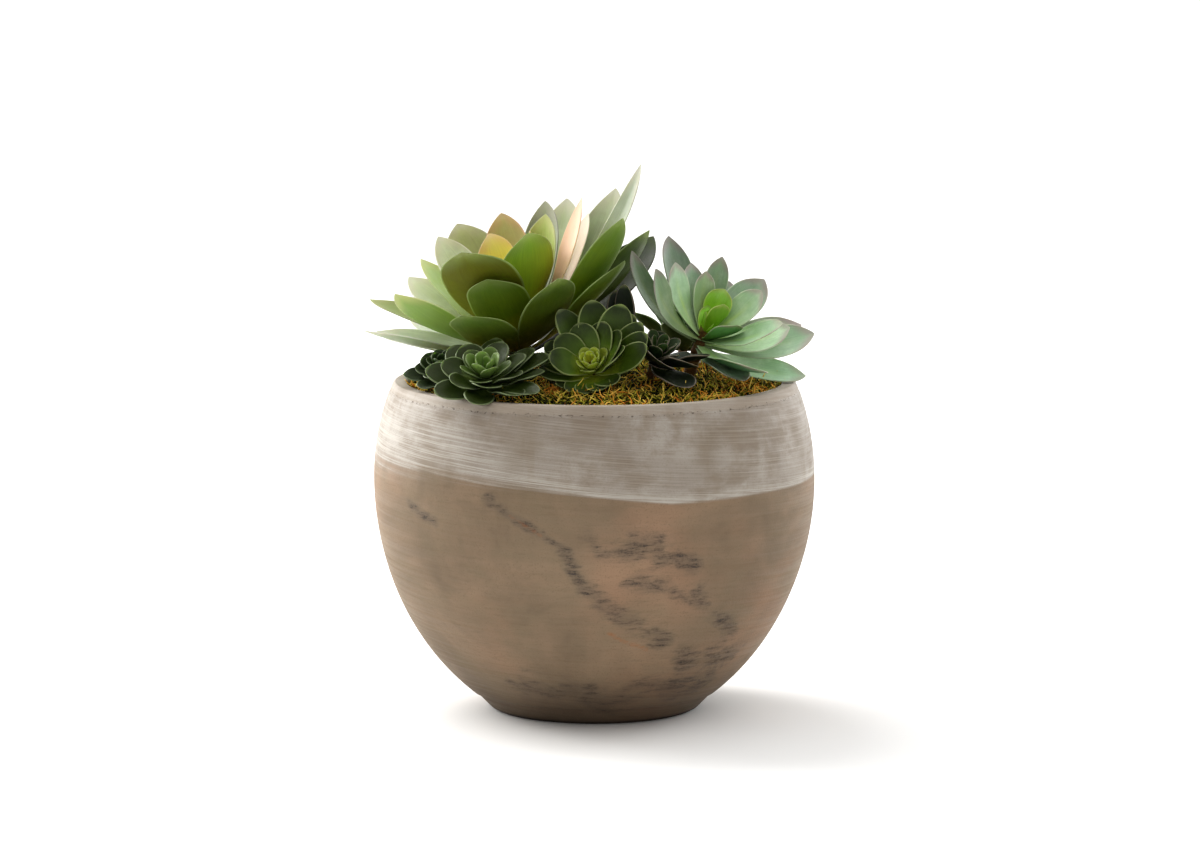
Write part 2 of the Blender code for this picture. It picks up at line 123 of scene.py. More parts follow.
def make_piece(name, points, quads, triangles, finish, slot, nodes):
    """A smooth mesh on the frame that stands for the named solids."""
    if volume(points, quads, triangles) < 0:
        quads, triangles = quads[:, ::-1], triangles[:, ::-1]
    mesh = bpy.data.meshes.new(name)
    mesh.vertices.add(len(points))
    mesh.vertices.foreach_set("co", points.astype(np.float32).ravel())
    corners = np.concatenate([quads.ravel(), triangles.ravel()]).astype(np.int32)
    sizes = np.concatenate([np.full(len(quads), 4), np.full(len(triangles), 3)])
    mesh.loops.add(len(corners))
    mesh.loops.foreach_set("vertex_index", corners)
    mesh.polygons.add(len(sizes))
    starts = np.concatenate([[0], np.cumsum(sizes)[:-1]]).astype(np.int32)
    mesh.polygons.foreach_set("loop_start", starts)
    mesh.update(calc_edges=True)
    mesh.validate()
    mesh.shade_smooth()
    mesh.materials.append(finish)
    piece = bpy.data.objects.new(name, mesh)
    bpy.context.scene.collection.objects.link(piece)
    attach(piece, "root")
    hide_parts(*nodes)
    return piece


def give_values(piece, **values):
    """Store one number a point, which the finish reads as an attribute of the same name."""
    for name, numbers in values.items():
        layer = piece.data.attributes.new(name, "FLOAT", "POINT")
        layer.data.foreach_set("value", np.asarray(numbers, np.float32).ravel())


def give_map(piece, across, along):
    """A UV map from one pair of numbers a point: across the leaf and along it."""
    layer = piece.data.uv_layers.new(name="leaf")
    corner = np.zeros(len(piece.data.loops), np.int32)
    piece.data.loops.foreach_get("vertex_index", corner)
    pairs = np.stack([np.ravel(across), np.ravel(along)], -1)[corner]
    layer.data.foreach_set("uv", pairs.astype(np.float32).ravel())


# %% [markdown]
# ## Writing finishes down as sums
# A finish is a tree of nodes. Written out link by link it is hard to read, so this small class
# lets each step be one line: a call adds a node, feeds it, and hands back its output. Colours
# are given as they look on a screen, 0 to 255, and turned into the linear values that light
# works with.

# %% Colours and node shorthand
def paint(red, green, blue):
    """Linear colour from screen values: ((c + 0.055) / 1.055)^2.4, or c / 12.92 near black."""
    screen = np.array([red, green, blue]) / 255
    linear = np.where(screen > 0.04045, ((screen + 0.055) / 1.055) ** 2.4, screen / 12.92)
    return tuple(float(v) for v in linear)


class Finish:
    """A material whose nodes are written as sums."""

    def __init__(self, name, roughness, specular=0.5, subsurface=0.0, depth=0.0, tint=(1, 1, 1)):
        self.material = bpy.data.materials.new(name)
        self.material.use_nodes = True
        self.tree = self.material.node_tree
        self.shader = self.tree.nodes["Principled BSDF"]
        for socket, value in (("Roughness", roughness), ("Specular IOR Level", specular),
                              ("Subsurface Weight", subsurface), ("Subsurface Scale", depth),
                              ("Subsurface Radius", tint)):
            self.shader.inputs[socket].default_value = value
        self.place = self.node("TexCoord").outputs["Object"]

    def node(self, kind, **settings):
        node = self.tree.nodes.new("ShaderNode" + kind)
        for key, value in settings.items():
            setattr(node, key, value)
        return node

    def feed(self, socket, value):
        """Link an output into a socket, or set the socket to a number, a vector or a colour."""
        if isinstance(value, bpy.types.NodeSocket):
            self.tree.links.new(value, socket)
        elif socket.type == "RGBA":
            socket.default_value = (*value, 1.0)
        else:
            socket.default_value = value

    def sum(self, operation, *values):
        node = self.node("Math", operation=operation)
        for socket, value in zip(node.inputs, values):
            self.feed(socket, value)
        return node.outputs[0]

    def add(self, first, second):
        return self.sum("ADD", first, second)

    def times(self, first, second):
        return self.sum("MULTIPLY", first, second)

    def swing(self, pattern, size):
        """A pattern from 0 to 1 turned into (pattern - 0.5) * size."""
        return self.times(self.sum("SUBTRACT", pattern, 0.5), size)

    def off(self, value, middle):
        """How far a value is from the middle, either way."""
        return self.sum("ABSOLUTE", self.sum("SUBTRACT", value, middle))

    def step(self, value, low, high, start=0.0, end=1.0):
        """Smooth change from start to end as the value goes from low to high."""
        node = self.node("MapRange", interpolation_type="SMOOTHSTEP")
        for socket, number in zip(node.inputs, (value, low, high, start, end)):
            self.feed(socket, number)
        return node.outputs[0]

    def blend(self, share, first, second, how="MIX"):
        node = self.node("Mix", data_type="RGBA", blend_type=how)
        for place, value in ((0, share), (6, first), (7, second)):
            self.feed(node.inputs[place], value)
        return node.outputs[2]

    def shade(self, colour, by):
        """The colour multiplied by another colour or by a number."""
        return self.blend(1.0, colour, by, "MULTIPLY")

    def layers(self, colour, *coats):
        """Screen colours laid on in turn, where a pattern goes from low to high, up to a share."""
        for pattern, low, high, share, over in coats:
            colour = self.blend(self.step(pattern, low, high, 0, share), colour, paint(*over))
        return colour

    def ramp(self, value, *stops):
        """Colour ramp through (position, screen colour) stops."""
        node = self.node("ValToRGB")
        elements = node.color_ramp.elements
        while len(elements) < len(stops):
            elements.new(0.5)
        for element, (position, colour) in zip(elements, stops):
            element.position, element.color = position, (*paint(*colour), 1.0)
        self.feed(node.inputs[0], value)
        return node.outputs[0]

    def noise(self, scale, stretch=(1, 1, 1), detail=3.0, rough=0.55, where=None, warp=0.0):
        """Cloudy noise, 0 to 1, on coordinates multiplied by stretch."""
        spread = self.node("VectorMath", operation="MULTIPLY")
        self.feed(spread.inputs[0], where or self.place)
        self.feed(spread.inputs[1], stretch)
        node = self.node("TexNoise")
        for socket, value in (("Vector", spread.outputs[0]), ("Scale", scale), ("Detail", detail),
                              ("Roughness", rough), ("Distortion", warp)):
            self.feed(node.inputs[socket], value)
        return node.outputs["Fac"]

    def value(self, name):
        return self.node("Attribute", attribute_name=name).outputs["Fac"]

    def parts(self, vector):
        node = self.node("SeparateXYZ")
        self.feed(node.inputs[0], vector)
        return node.outputs

    def bump(self, height, distance, strength=1.0):
        node = self.node("Bump")
        for socket, value in (("Height", height), ("Distance", distance), ("Strength", strength)):
            self.feed(node.inputs[socket], value)
        self.feed(self.shader.inputs["Normal"], node.outputs[0])

    def done(self, colour, roughness=None):
        self.feed(self.shader.inputs["Base Color"], colour)
        if roughness is not None:
            self.feed(self.shader.inputs["Roughness"], roughness)
        return self.material


print("sand on screen", (150, 125, 100), "in linear", [round(v, 3) for v in paint(150, 125, 100)])

# %% [markdown]
# ## The studio
# A pale floor that runs far behind the pot shows no horizon from the front. Light comes from
# all around, softly, as in a white tent whose back is brighter than its front, so leaves glow at
# their edges and stay dark in between. One large soft lamp low on the left makes the edges on
# that side bright, a weaker one behind on the right draws a thin light edge there, and a broad
# light from above leaves the faint shadow on the floor. A long lens far away keeps the
# perspective flat.

# %% Camera, lamps and floor
AIM = Vector((0.0036, 0.0, 0.1802))
DISTANCE, PITCH, LENS = 3.31, math.radians(7.84), 156.1
TENT_FRONT, TENT_BACK, BRIGHT_SIDE = 0.45, 1.15, (0.0, 0.92, 0.39)
LAMP_DISTANCE, FLOOR_REACH, FLOOR_DROP = 2.2, 40.0, 0.2 * MM

camera = bpy.data.objects.new("camera", bpy.data.cameras.new("camera"))
camera.data.lens = LENS
camera.location = AIM + DISTANCE * Vector((0, -math.cos(PITCH), math.sin(PITCH)))
camera.rotation_euler = (math.pi / 2 - PITCH, 0, 0)
bpy.context.scene.collection.objects.link(camera)
bpy.context.scene.camera = camera
bpy.context.scene.view_settings.view_transform = "Standard"
bpy.context.scene.view_settings.look = "Medium High Contrast"


def direction(turn, rise):
    """Unit vector at a turn from the right-hand side, anticlockwise from above, and a rise."""
    turn, rise = math.radians(turn), math.radians(rise)
    level = math.cos(rise)
    return Vector((math.cos(turn) * level, math.sin(turn) * level, math.sin(rise)))


def lamp(name, kind, turn, rise, strength, colour, size):
    """A soft lamp that looks at the plants: a square of that size, or a sun of that angle."""
    data = bpy.data.lights.new(name, kind)
    data.energy, data.color = strength, colour
    away = direction(turn, rise)
    if kind == "SUN":
        data.angle = math.radians(size)
    else:
        data.size = size
    light = bpy.data.objects.new(name, data)
    light.location = AIM + away * LAMP_DISTANCE
    light.rotation_euler = away.to_track_quat("Z", "Y").to_euler()
    light.visible_camera = False
    bpy.context.scene.collection.objects.link(light)


lamp("window_left", "AREA", 146, 22, 42, (1.0, 0.99, 0.97), 1.2)
lamp("edge_right", "AREA", 42, 14, 15, (0.98, 0.99, 1.0), 0.9)
lamp("ceiling", "SUN", 125, 52, 1.1, (1.0, 0.99, 0.98), 32)

world = bpy.data.worlds.new("tent")
world.use_nodes = True
tent = world.node_tree
sky = tent.nodes["Background"]
sky.inputs["Color"].default_value = (1.0, 0.995, 0.985, 1)
looking = tent.nodes.new("ShaderNodeTexCoord").outputs["Generated"]
behind = tent.nodes.new("ShaderNodeVectorMath")
behind.operation = "DOT_PRODUCT"
behind.inputs[1].default_value = BRIGHT_SIDE
strength = tent.nodes.new("ShaderNodeMapRange")
for socket, number in zip(strength.inputs[1:5], (-0.75, 0.75, TENT_FRONT, TENT_BACK)):
    socket.default_value = number
tent.links.new(looking, behind.inputs[0])
tent.links.new(behind.outputs["Value"], strength.inputs[0])
tent.links.new(strength.outputs[0], sky.inputs["Strength"])
bpy.context.scene.world = world

floor_mesh = bpy.data.meshes.new("floor")
corners = [(x * FLOOR_REACH, y * FLOOR_REACH, -FLOOR_DROP)
           for x, y in ((-1, -1), (1, -1), (1, 1), (-1, 1))]
floor_mesh.from_pydata(corners, [], [(0, 1, 2, 3)])
floor = bpy.data.objects.new("floor", floor_mesh)
bpy.context.scene.collection.objects.link(floor)
paper = Finish("paper", roughness=0.9, specular=0.2)
shades = paper.blend(paper.noise(0.8), (0.85, 0.85, 0.845), (0.87, 0.87, 0.865))
floor_mesh.materials.append(paper.done(shades))
print("camera height in mm:", round(camera.location.z / MM))

# %% [markdown]
# ## The pot
# Such a pot is thrown or pressed in dark clay, dipped in a thin pale wash down to the belly, and
# fired in smoke, which leaves grey veins and cloudy spots. Its shape is one profile spun round
# the axis: foot, ledge, bowl, groove under the lip, lip, and the inside wall. Spacing the
# columns by t - 0.4 * sin(t) puts more of them at the front, where most of the marks are.

# %% Profile and skin of the pot
COLUMNS, BODY_ROWS, LIP_ROWS, WALL_ROWS, CROWDING = 440, 128, 5, 26, 0.4
INSIDE_ROWS = LIP_ROWS + WALL_ROWS + 3   # the lip's inner round, the wall and three on the floor
LIP_ROUND, GROOVE, GROOVE_WIDTH = 1.5 * MM, 0.55 * MM, 0.9


def arc(centre, radius, first, last, count):
    """Points of an arc: centre + radius * (cos, sin) between two angles in degrees."""
    angle = np.radians(np.linspace(first, last, count))
    return np.stack([centre[0] + radius * np.cos(angle), centre[1] + radius * np.sin(angle)], -1)


def pot_profile():
    """(radius, height) pairs from the middle of the foot, up the outside, down the inside."""
    foot = np.array([(0.004, 0), (0.02, 0), (0.04, 0), (FOOT_RADIUS - 4 * MM, 0)])
    bevel = arc((FOOT_RADIUS - 1.5 * MM, 1.5 * MM), 1.5 * MM, -90, -20, 5)
    share = np.linspace(0.12, 1, 12)
    side = np.stack([FOOT_RADIUS + (FOOT_TOP_RADIUS - FOOT_RADIUS) * share, FOOT_TOP * share], -1)
    heights = np.linspace(FOOT_TOP + 0.3 * MM, RIM_HEIGHT - LIP_ROUND, BODY_ROWS)
    drop = (RIM_HEIGHT - LIP_BAND - heights) / MM
    dent = np.where(drop < 0, 0.3 * MM, GROOVE * np.exp(-(drop / GROOVE_WIDTH) ** 2))
    body = np.stack([bowl_radius(heights) - dent, heights], -1)
    rim = float(bowl_radius(RIM_HEIGHT)) - 0.3 * MM
    outer = arc((rim - LIP_ROUND, RIM_HEIGHT - LIP_ROUND), LIP_ROUND, 20, 90, LIP_ROWS)
    inner = arc((rim - WALL + LIP_ROUND, RIM_HEIGHT - LIP_ROUND), LIP_ROUND, 90, 180, LIP_ROWS)
    down = np.linspace(RIM_HEIGHT - 4 * MM, FLOOR_HEIGHT + 6 * MM, WALL_ROWS)
    wall = np.stack([bowl_radius(down, WALL), down], -1)
    base = np.array([(0.06, FLOOR_HEIGHT + 1 * MM), (0.03, FLOOR_HEIGHT), (0.004, FLOOR_HEIGHT)])
    return np.concatenate([foot, bevel, side, body, outer, inner, wall, base])


def spin(profile, columns):
    """Spins the profile: turn = t - 0.4 sin t from the front; closes both poles."""
    t = np.linspace(-math.pi, math.pi, columns, endpoint=False)
    turn = t - CROWDING * np.sin(t)
    radius, height = profile[:, :1], np.repeat(profile[:, 1:], columns, 1)
    wobble = (1 + 0.0012 * np.sin(2 * turn + 1 + height * 20)
              + 0.0008 * np.sin(5 * turn + height * 55))
    grid = np.stack([radius * wobble * np.sin(turn), -radius * wobble * np.cos(turn), height], -1)
    poles = np.array([[0, 0, profile[0, 1]], [0, 0, profile[-1, 1]]])
    return np.concatenate([grid.reshape(-1, 3), poles]), np.degrees(turn)


pot_rows = pot_profile()
pot_points, pot_turn = spin(pot_rows, COLUMNS)
print("pot:", len(pot_rows), "rings of", COLUMNS, "points")

# %% [markdown]
# ## Smoke, rust and the edge of the wash
# The marks follow lines on the unrolled outside: degrees to the right of the front, and height
# in mm. Each point of the skin takes the distance to the nearest line, bent by slow sine waves
# so that nothing runs straight, and turns it into a strength between 0 and 1. The finish later
# breaks that strength up with noise.

# %% Marks on the unrolled outside
SMOKE = (
    # width of the line, then its stops
    (5.0, (-25, 150), (-10, 120), (0, 95)), (8.0, (0, 95), (20, 60)), (5.0, (10, 105), (35, 80)),
    (11.0, (0, 125), (15, 125)), (8.0, (15, 115), (25, 110)), (8.0, (30, 90), (45, 65)),
    (12.0, (30, 45), (50, 50)), (13.0, (-25, 25), (45, 25)), (4.0, (-55, 140), (-45, 135)),
    (7.0, (120, 130), (150, 85)), (9.0, (-150, 120), (-115, 70)), (11.0, (-170, 35), (-140, 30)),
    (11.0, (100, 30), (140, 25)),
)
RUST = ((3.0, (-20, 140), (-15, 130)), (3.0, (5, 70), (15, 55)), (3.0, (140, 70), (145, 60)))
STAIN = ((10.0, (-20, 200), (-20, 175)), (9.0, (65, 205), (70, 165)), (9.0, (30, 195), (30, 175)),
         (10.0, (-120, 200), (-125, 175)), (10.0, (150, 200), (155, 175)))
WASH_EDGE = ((-180, 155), (-40, 165), (20, 150), (180, 155))
WASH_SOFTNESS = ((-180, 7), (-50, 15), (0, 2), (90, 2), (180, 7))


def near_lines(lines, across, height):
    """Largest exp(-(distance / width)^2) over all pieces of all lines, distances in mm."""
    strength = np.zeros_like(across)
    for width, *stops in lines:
        for (a0, h0), (a1, h1) in zip(stops[:-1], stops[1:]):
            scale = math.radians(1) * float(bowl_radius((h0 + h1) / 2 * MM)) / MM
            step = np.array([(a1 - a0) * scale, h1 - h0])
            reach = np.stack([(across - a0) * scale, height - h0], -1)
            share = np.clip(reach @ step / (step @ step), 0, 1)
            gap = np.linalg.norm(reach - share[..., None] * step, axis=-1)
            strength = np.maximum(strength, np.exp(-(gap / width) ** 2))
    return strength


turn_grid = np.tile(pot_turn, len(pot_rows))
height_grid = np.repeat(pot_rows[:, 1], COLUMNS) / MM
outside = np.repeat(np.arange(len(pot_rows)) < len(pot_rows) - INSIDE_ROWS, COLUMNS)
bent_turn = (turn_grid + 1.6 * np.sin(height_grid / 11)
             + 0.8 * np.sin(height_grid / 5 + turn_grid / 9))
bent_height = height_grid + 2.2 * np.sin(turn_grid / 7 + 1) + 1.0 * np.sin(turn_grid / 4)


def with_poles(values):
    """The values of the grid's points, and zero for the two poles."""
    return np.append(values, [0.0, 0.0])


smoke, rust, stain = (with_poles(near_lines(lines, bent_turn, bent_height) * outside)
                      for lines in (SMOKE, RUST, STAIN))
edge_height = np.interp(turn_grid, *np.array(WASH_EDGE).T)
wash = (height_grid - edge_height) / np.interp(turn_grid, *np.array(WASH_SOFTNESS).T)
wash = with_poles(np.clip(wash, -3, 3))
print("share of the skin that is smoked:", round(float((smoke > 0.4).mean()), 3))

# %% [markdown]
# ## Fired clay under a brushed wash
# The bare clay is a warm brown with rosy and greyish clouds. The wash is a thin pale coat that
# still shows the strokes of the brush: long fine streaks round the pot, whitest along its lower
# edge. Noise squeezed along the height and stretched round the pot gives those streaks. All
# patterns read the object's own coordinates, so no seam shows anywhere.

# %% Bare clay
clay = Finish("fired_clay", roughness=0.6, specular=0.32)
up = clay.parts(clay.place)[2]
tilted = clay.node("VectorRotate", rotation_type="Y_AXIS")
clay.feed(tilted.inputs["Vector"], clay.place)
clay.feed(tilted.inputs["Angle"], math.radians(-5))
tilted = tilted.outputs[0]
clouds = clay.noise(11, (1, 1, 1.3), 4, 0.6, warp=0.6)
broad = clay.noise(26, (1, 1, 1.6), 5, 0.62)
grain = clay.noise(900, detail=2, rough=0.6)
grit = clay.noise(2300, detail=2, rough=0.6)
rings = clay.noise(1, (5, 5, 260), 3, 0.6)
scuffs = clay.noise(1, (60, 60, 420), 4, 0.7)
rosy = clay.noise(8, detail=3, rough=0.5, warp=0.4)
body = clay.ramp(clouds, (0.30, (110, 95, 76)), (0.5, (132, 113, 92)), (0.68, (146, 125, 102)))
body = clay.layers(
    body, (rosy, 0.48, 0.7, 0.5, (164, 128, 102)), (broad, 0.42, 0.72, 0.5, (126, 112, 90)),
    (rings, 0.4, 0.8, 0.07, (168, 150, 126)), (scuffs, 0.5, 0.75, 0.3, (108, 92, 72)),
    (grain, 0.52, 0.75, 0.4, (110, 93, 74)), (grit, 0.66, 0.82, 0.5, (176, 158, 134)))
print("nodes in the bare clay:", len(clay.tree.nodes))

# %% Brushed wash
strokes = clay.noise(1, (9, 9, 520), 4, 0.65, where=tilted, warp=0.15)
fine_strokes = clay.noise(1, (16, 16, 1500), 3, 0.6, where=tilted)
drips = clay.noise(1, (90, 90, 5), 3, 0.6)
above = clay.value("wash")
edge = clay.add(above, clay.swing(strokes, 1.6))
near_edge = clay.step(above, 0.4, 2.6, 1, 0.35)
bright = clay.times(near_edge, clay.step(strokes, 0.45, 0.76, 0, 0.3))
dull = clay.times(near_edge, clay.step(fine_strokes, 0.55, 0.8, 0, 0.25))
coat = clay.ramp(clouds, (0.32, (134, 123, 112)), (0.5, (154, 145, 135)), (0.7, (172, 165, 157)))
coat = clay.blend(bright, coat, paint(190, 184, 176))
coat = clay.blend(dull, coat, paint(130, 118, 102))
coat = clay.layers(
    coat, (broad, 0.44, 0.66, 0.8, (126, 112, 96)), (drips, 0.5, 0.72, 0.45, (132, 117, 99)),
    (scuffs, 0.5, 0.75, 0.3, (124, 112, 96)), (grain, 0.5, 0.72, 0.35, (126, 114, 98)))
coat = clay.blend(clay.times(clay.value("stain"), 0.55), coat, paint(122, 108, 90))
whitest = clay.times(clay.step(edge, -0.2, 0.5), clay.step(edge, 0.7, 4.5, 1, 0))
whitest = clay.times(whitest, clay.step(fine_strokes, 0.4, 0.7, 0.1, 0.65))
colour = clay.blend(clay.step(edge, -0.6, 0.5), body, coat)
colour = clay.blend(whitest, colour, paint(202, 197, 188))
print("nodes with the wash:", len(clay.tree.nodes))

# %% Smoke and rust
ragged = clay.noise(95, (1, 1, 1.8), 6, 0.72, warp=0.7)
wisps = clay.noise(1, (70, 70, 380), 5, 0.75, warp=0.4)
islands = clay.noise(40, (1, 1, 1.7), 3, 0.6, warp=0.5)
threads = clay.step(clay.off(ragged, 0.5), 0.0, 0.05, 1, 0)
clots = clay.step(wisps, 0.46, 0.62)
smoked = clay.value("smoke")
torn = clay.add(clay.add(smoked, clay.swing(islands, 2.4)), clay.swing(wisps, 1.2))
torn = clay.times(torn, clay.step(smoked, 0.02, 0.3))
soot = clay.times(clay.add(clay.times(threads, 0.3), clay.times(clots, 0.75)),
                  clay.step(torn, 0.5, 1.25))
soot = clay.times(soot, clay.step(grain, 0.3, 0.6, 0.5, 0.9))
rusted = clay.add(clay.value("rust"), clay.swing(ragged, 2.2))
colour = clay.layers(colour, (torn, 0.15, 1.2, 0.5, (104, 92, 78)))
colour = clay.blend(soot, colour, paint(60, 54, 50))
colour = clay.layers(colour, (rusted, 0.5, 1.2, 0.5, (156, 96, 58)))
print("nodes with smoke and rust:", len(clay.tree.nodes))

# %% Lip, foot and relief
LIP_LINE = RIM_HEIGHT - LIP_BAND
lip = clay.step(up, LIP_LINE - 0.3 * MM, LIP_LINE + 0.6 * MM)
seam = clay.step(clay.off(up, LIP_LINE), 0.2 * MM, 1.6 * MM, 1, 0)
pits = clay.times(seam, clay.step(clay.noise(420, (1, 1, 2), 3, 0.6), 0.56, 0.68))
low = clay.add(up, clay.swing(broad, 0.03))
for share, over in ((clay.times(lip, 0.45), (164, 152, 138)), (clay.times(pits, 0.8), (74, 60, 46)),
                    (clay.step(low, 0.0, 0.05, 0.7, 0), (80, 68, 56)),
                    (clay.step(up, 0.0, 0.004, 0.7, 0), (40, 33, 28))):
    colour = clay.blend(share, colour, paint(*over))
relief = clay.add(clay.times(rings, 0.25), clay.times(grain, 0.4))
relief = clay.add(relief, clay.times(strokes, 0.1))
relief = clay.sum("SUBTRACT", relief, clay.times(pits, 1.2))
clay.bump(relief, 0.6 * MM, 0.5)
fired_clay = clay.done(colour, clay.step(strokes, 0.3, 0.7, 0.52, 0.72))

pot = make_piece("pot_body", pot_points, ring_quads(len(pot_rows), COLUMNS),
                 end_fans(len(pot_rows), COLUMNS), fired_clay, "pot", ["pot"])
give_values(pot, smoke=smoke, rust=rust, stain=stain, wash=wash)
print("pot triangles:", 2 * len(pot.data.polygons))

# %% [markdown]
# ## One leaf
# A succulent leaf is a thick blade: narrow at its neck, broadest past the middle, with a short
# point at the end. It curls along its length, spoons across its width, and may twist. All of
# that is one formula in the frame of its rosette, where the stem is the height axis: walk along
# an arc, step sideways along a second arc, then turn the section by the twist. The section is a
# closed loop, top face one way and underside back, so the blade is solid with a rounded rim.

# %% Shape of a leaf
LEAF_THICKNESS, NECK_WIDTH = 1.3 * MM, 7 * MM
WIDEST_AT, NECK_POWER, TWIST_POWER = 0.62, 1.3, 1.2
POINTED, ROUNDED = (2.6, 0.85), (2.2, 0.62)
SPOON, WRAPS_UNTIL, SPOONS_FROM, LEAN_AT_FOOT = math.radians(26), 0.15, 0.60, 95
SEAT = -1.5   # how far off its stem a leaf starts (mm)


def half_width(share, width, neck, end):
    """Half the blade: neck to full width by a sine, then (1 - f^p)^q down to a tiny point."""
    rising = np.sin(np.clip(share / WIDEST_AT, 0, 1) * math.pi / 2)
    falling = np.clip((share - WIDEST_AT) / (1 - WIDEST_AT), 0, 1)
    blade = (neck + (width - neck) * rising ** NECK_POWER) / 2
    blade = blade * (1 - falling ** end[0]) ** end[1]
    point = 0.5 * MM * np.clip((1.0 - share) / 0.03, 0.12, 1)
    return np.maximum(blade, point)


def section(columns):
    """A closed loop round the blade: side from -1 to 1, face +1 over and -1 under, rim bulge."""
    side = np.sin(np.linspace(-1, 1, columns) * math.pi / 2)
    rim = np.array([0.55, -0.55])
    sides = np.concatenate([side, [1, 1], side[::-1], [-1, -1]])
    faces = np.concatenate([np.ones(columns), rim, -np.ones(columns), -rim])
    bulge = np.concatenate([np.zeros(columns), [1, 1], np.zeros(columns), [-1, -1]])
    return sides, faces, bulge


def leaf(turn, lean, length, width, curl, twist=0, stem=5.0, rise=10, rows=44, columns=15,
         core=0.6, rim=0.36, ruffle=0.1, channel=0.3, phase=0.0, end=POINTED):
    """Points of one leaf in its rosette's frame, in metres, with side, share and face for each.

    along = r (sin(c/2) - sin(c (1/2 - s))) and bulge = r (cos(c (1/2 - s)) - cos(c/2)) walk the
    curl c of radius r; sin(a)/b and (1 - cos(a))/b step sideways on the spoon of bend b.
    """
    length, width, curl = length * MM, width * MM, math.radians(curl)
    turn, lean = math.radians(turn), math.radians(lean)
    share = (1 - (1 - np.linspace(0, 1, rows)) ** 1.8)[:, None]
    side, face, edge = section(columns)
    half = half_width(share, width, min(NECK_WIDTH, 0.6 * width), end)

    radius = length * (curl / 2) / math.sin(curl / 2) / curl
    heading = lean + curl * (0.5 - share)
    along = radius * (math.sin(curl / 2) - np.sin(curl * (0.5 - share)))
    bulge = radius * (np.cos(curl * (0.5 - share)) - math.cos(curl / 2))
    start = (stem + SEAT) * MM + 0.5 * LEAF_THICKNESS * abs(math.cos(lean + curl / 2))
    radial = start + along * math.sin(lean) + bulge * math.cos(lean)
    upward = (rise * MM * (1 - math.degrees(lean) / LEAN_AT_FOOT)
              + along * math.cos(lean) - bulge * math.sin(lean))

    own = np.clip((share - WRAPS_UNTIL) / (SPOONS_FROM - WRAPS_UNTIL), 0, 1)
    bend = np.cos(heading) / radial * (1 - own) + SPOON / (width / 2) * own
    angle = bend * half * side
    thin = np.clip((1 - share) / 0.12, 0.25, 1)
    thick = (rim + (core * (1.35 - 0.75 * share) - rim) * (1 - side ** 2) ** 0.9) * thin * MM
    outward = edge * rim * MM * 0.8 * thin
    wave = (ruffle * MM * side ** 2 * np.sin(share * 15 + 2.4 * side + phase)
            * np.clip(share * 2, 0, 1))
    crease = (channel * MM * np.exp(-(side / 0.16) ** 2)
              * np.sin(math.pi * np.clip(share, 0, 1)) ** 0.7)
    level = (1 - np.cos(angle)) / bend + wave - crease + face * thick * np.cos(angle)
    across = np.sin(angle) / bend + outward - face * thick * np.sin(angle)

    roll = math.radians(twist) * np.clip(share / WIDEST_AT, 0, 1) ** TWIST_POWER
    normal = level * np.cos(roll) + across * np.sin(roll)
    tangent = across * np.cos(roll) - level * np.sin(roll)
    out = radial - normal * np.cos(heading)
    height = upward + normal * np.sin(heading)
    points = np.stack([out * math.cos(turn) - tangent * math.sin(turn),
                       out * math.sin(turn) + tangent * math.cos(turn), height], -1)
    return points, *(np.broadcast_to(values, points.shape[:2])
                     for values in (side, share, np.clip(0.5 - face, 0, 1)))


def placed(points, base, tilt, towards):
    """Turns points by the tilt about the level line square to 'towards', then moves them."""
    bearing = math.radians(towards)
    hinge = Vector((-math.sin(bearing), math.cos(bearing), 0))
    turned = Matrix.Rotation(math.radians(tilt), 3, hinge)
    return points @ np.array(turned).T + np.array(base) * MM


def leaf_piece(name, leaves, place, finish, slot_name, nodes, **extra):
    """One mesh of several leaves, each closed at neck and point, with its map and values."""
    points, quads, ends, across, along, under, count = [], [], [], [], [], [], 0
    numbers = {key: [] for key in extra}
    for index, (grid, side, share, below) in enumerate(leaves):
        rows, columns = side.shape
        tips = np.stack([grid[0].mean(0), grid[-1].mean(0)])
        points.append(placed(np.concatenate([grid.reshape(-1, 3), tips]), *place))
        quads.append(ring_quads(rows, columns, count))
        ends.append(end_fans(rows, columns, count))
        across.append(np.append(side.ravel() * 0.5 + 0.5, [0.5, 0.5]))
        along.append(np.append(share.ravel(), [0.0, 1.0]))
        under.append(np.append(below.ravel(), [0.5, 0.5]))
        count += rows * columns + 2
        for key, values in extra.items():
            numbers[key].append(np.full(rows * columns + 2, values[index]))
    piece = make_piece(name, *map(np.concatenate, (points, quads, ends)), finish, slot_name, nodes)
    give_map(piece, np.concatenate(across), np.concatenate(along))
    give_values(piece, under=np.concatenate(under),
                **{key: np.concatenate(values) for key, values in numbers.items()})
    return piece


sample_leaf = leaf(0, 45, 90, 36, 16)
sample_height = float(np.ptp(sample_leaf[0][..., 2])) / MM
print("points in one leaf:", sample_leaf[0].shape, "height in mm:", round(sample_height))

# %% [markdown]
# ## Skin of a leaf
# Look closely at a fleshy leaf: the green shifts from neck to point, the underside is another
# colour, darker in most kinds, which is partly its own colour and partly painted shade, the rim
# is thin and pale, fine lines run lengthwise, a pale bloom lies on top in patches, and light
# glows through the blade. The finish reads the leaf's own map (across 0 to 1, along 0 to 1), so
# each of these follows the leaf however it bends. One function with a palette for each kind of
# leaf keeps them all in one family.

# %% Finish of a leaf
LEAF_GLOSS = 0.5


